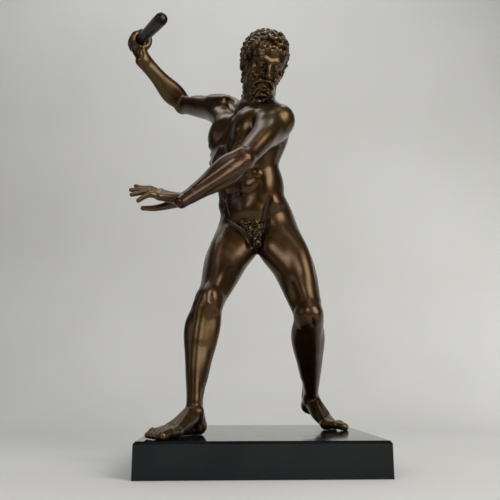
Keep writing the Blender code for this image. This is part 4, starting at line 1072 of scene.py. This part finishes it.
def backdrop_finish():
    finish, tree, shader, place = new_material("studio_paper")
    cloud = noise(tree, place, 3.0, 2.0, 0.5)
    tree.links.new(ramp(tree, cloud, ((0.3, (0.70, 0.70, 0.68)), (0.7, (0.74, 0.74, 0.725)))),
                   shader.inputs["Base Color"])
    shader.inputs["Roughness"].default_value = 0.9
    shader.inputs["Specular IOR Level"].default_value = 0.15
    return finish


def relief_of(points, normals, clay):
    """How high each point stands out of what surrounds it: hollows near 0, ridges near 1."""
    value = np.zeros(len(points))
    for reach_out, weight in ((0.004, 0.40), (0.010, 0.35), (0.022, 0.25)):
        inside = field(points - normals * reach_out, clay) / reach_out
        outside = field(points + normals * reach_out, clay) / reach_out
        value += weight * (0.5 + 0.5 * np.clip(outside + inside, -1, 1))
        value -= weight * np.clip(0.95 - outside, 0, 1) * 0.5
    return np.clip(value, 0, 1)


def add_relief(piece, clay):
    """The relief value of every point, which the bronze's colours follow: painted shade in the hollows,
    rubbed wear on the ridges.
    """
    mesh = piece.data
    normals = np.empty(len(mesh.vertices) * 3)
    mesh.vertices.foreach_get("normal", normals)
    relief = relief_of(metres_to_stature(mesh), normals.reshape(-1, 3), clay)
    layer = mesh.attributes.new("relief", "FLOAT", "POINT")
    layer.data.foreach_set("value", relief)


def smooth_normals(piece, clay):
    """Shading normals taken from the clay, so highlights run clean over the facets."""
    _, slope = slope_of(metres_to_stature(piece.data), clay, NORMAL_STEP)
    normals = slope / np.linalg.norm(slope, axis=1)[:, None]
    piece.data.normals_split_custom_set_from_vertices(normals.tolist())


def dress_figure():
    clay = sculpt()
    points, links = bead_mesh(clay)
    mesh = new_mesh("figure_bronze", stature_to_metres(points), links)
    piece = bpy.data.objects.new("figure_bronze", mesh)
    bpy.context.scene.collection.objects.link(piece)
    cast(clay, piece, VOXELS, ROUNDS)
    thin = piece.modifiers.new("Thin", "DECIMATE")
    thin.ratio = min(1.0, FIGURE_TRIANGLES / (2 * len(piece.data.polygons)))
    apply_modifiers(piece)
    add_relief(piece, clay)
    piece.data.materials.clear()
    piece.data.materials.append(figure_finish())
    piece.data.polygons.foreach_set("use_smooth", [True] * len(piece.data.polygons))
    smooth_normals(piece, clay)
    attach(piece, "root")
    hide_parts("figure")


def dress_carried():
    """The club and the plinth keep their solids' form, with new finishes."""
    for name, finish in (("club", club_finish()), ("plinth", black_stone())):
        piece = frame["nodes"][name]
        piece.data.materials.clear()
        piece.data.materials.append(finish)


def sweep():
    """Floor and wall in one bent sheet, pale and unlit by anything but the lamps."""
    width, front, back, height, bend = 3.2, -0.75, 1.05, 2.4, 0.55
    outline = [(front, 0.0), (back - bend, 0.0)]
    for index in range(1, 17):
        angle = index / 16 * math.pi / 2
        outline.append((back - bend + bend * math.sin(angle), bend * (1 - math.cos(angle))))
    outline.append((back, height))
    points = [(side * width / 2, y, z) for y, z in outline for side in (-1, 1)]
    links = [(2 * i, 2 * i + 1, 2 * i + 3, 2 * i + 2) for i in range(len(outline) - 1)]
    mesh = bpy.data.meshes.new("studio_sweep")
    mesh.from_pydata(points, [], links)
    mesh.materials.append(backdrop_finish())
    mesh.polygons.foreach_set("use_smooth", [True] * len(mesh.polygons))
    piece = bpy.data.objects.new("studio_sweep", mesh)
    bpy.context.scene.collection.objects.link(piece)


def lamp(name, place, target, size, power, colour=(1.0, 1.0, 1.0)):
    data = bpy.data.lights.new(name, "AREA")
    data.shape = "RECTANGLE"
    data.size, data.size_y = size
    data.energy = power
    data.color = colour
    piece = bpy.data.objects.new(name, data)
    piece.location = place
    piece.rotation_euler = (Vector(target) - Vector(place)).to_track_quat("-Z", "Y").to_euler()
    bpy.context.scene.collection.objects.link(piece)


def light_studio():
    world = bpy.data.worlds.new("studio_air")
    world.use_nodes = True
    world.node_tree.nodes["Background"].inputs["Color"].default_value = (0.92, 0.95, 1.0, 1.0)
    world.node_tree.nodes["Background"].inputs["Strength"].default_value = 0.02
    bpy.context.scene.world = world
    middle = (0.0, 0.0, 0.30)
    lamp("key_right", (0.85, -1.00, 0.85), middle, (0.90, 1.00), 15.5, (1.0, 0.98, 0.94))
    lamp("front_left", (-0.52, -1.10, 0.68), middle, (0.5, 0.5), 3.6, (1.0, 0.99, 0.97))
    lamp("top_front", (0.00, -0.60, 1.50), middle, (0.6, 0.4), 1.2, (1.0, 1.0, 1.0))
    lamp("fill_left", (-1.30, -0.35, 0.60), middle, (0.3, 0.8), 0.8, (0.94, 0.97, 1.0))
    lamp("top_back", (-0.15, 0.40, 1.90), (-0.15, 0.45, 0.0), (1.6, 0.8), 10.0, (1.0, 1.0, 0.99))
    lamp("wall_right", (1.05, 0.30, 0.20), (0.62, 1.05, 0.30), (0.4, 0.4), 2.2, (1.0, 1.0, 1.0))


def place_camera():
    data = bpy.data.cameras.new("photo_view")
    data.sensor_width = SENSOR
    data.lens = LENS
    camera = bpy.data.objects.new("photo_view", data)
    camera.location = CAMERA_PLACE
    camera.rotation_euler = (math.radians(CAMERA_TILT), 0.0, math.radians(CAMERA_TURN))
    bpy.context.scene.collection.objects.link(camera)
    bpy.context.scene.camera = camera


def main():
    dress_figure()
    dress_carried()
    sweep()
    light_studio()
    place_camera()
    bpy.context.scene.view_settings.view_transform = "Standard"


main()
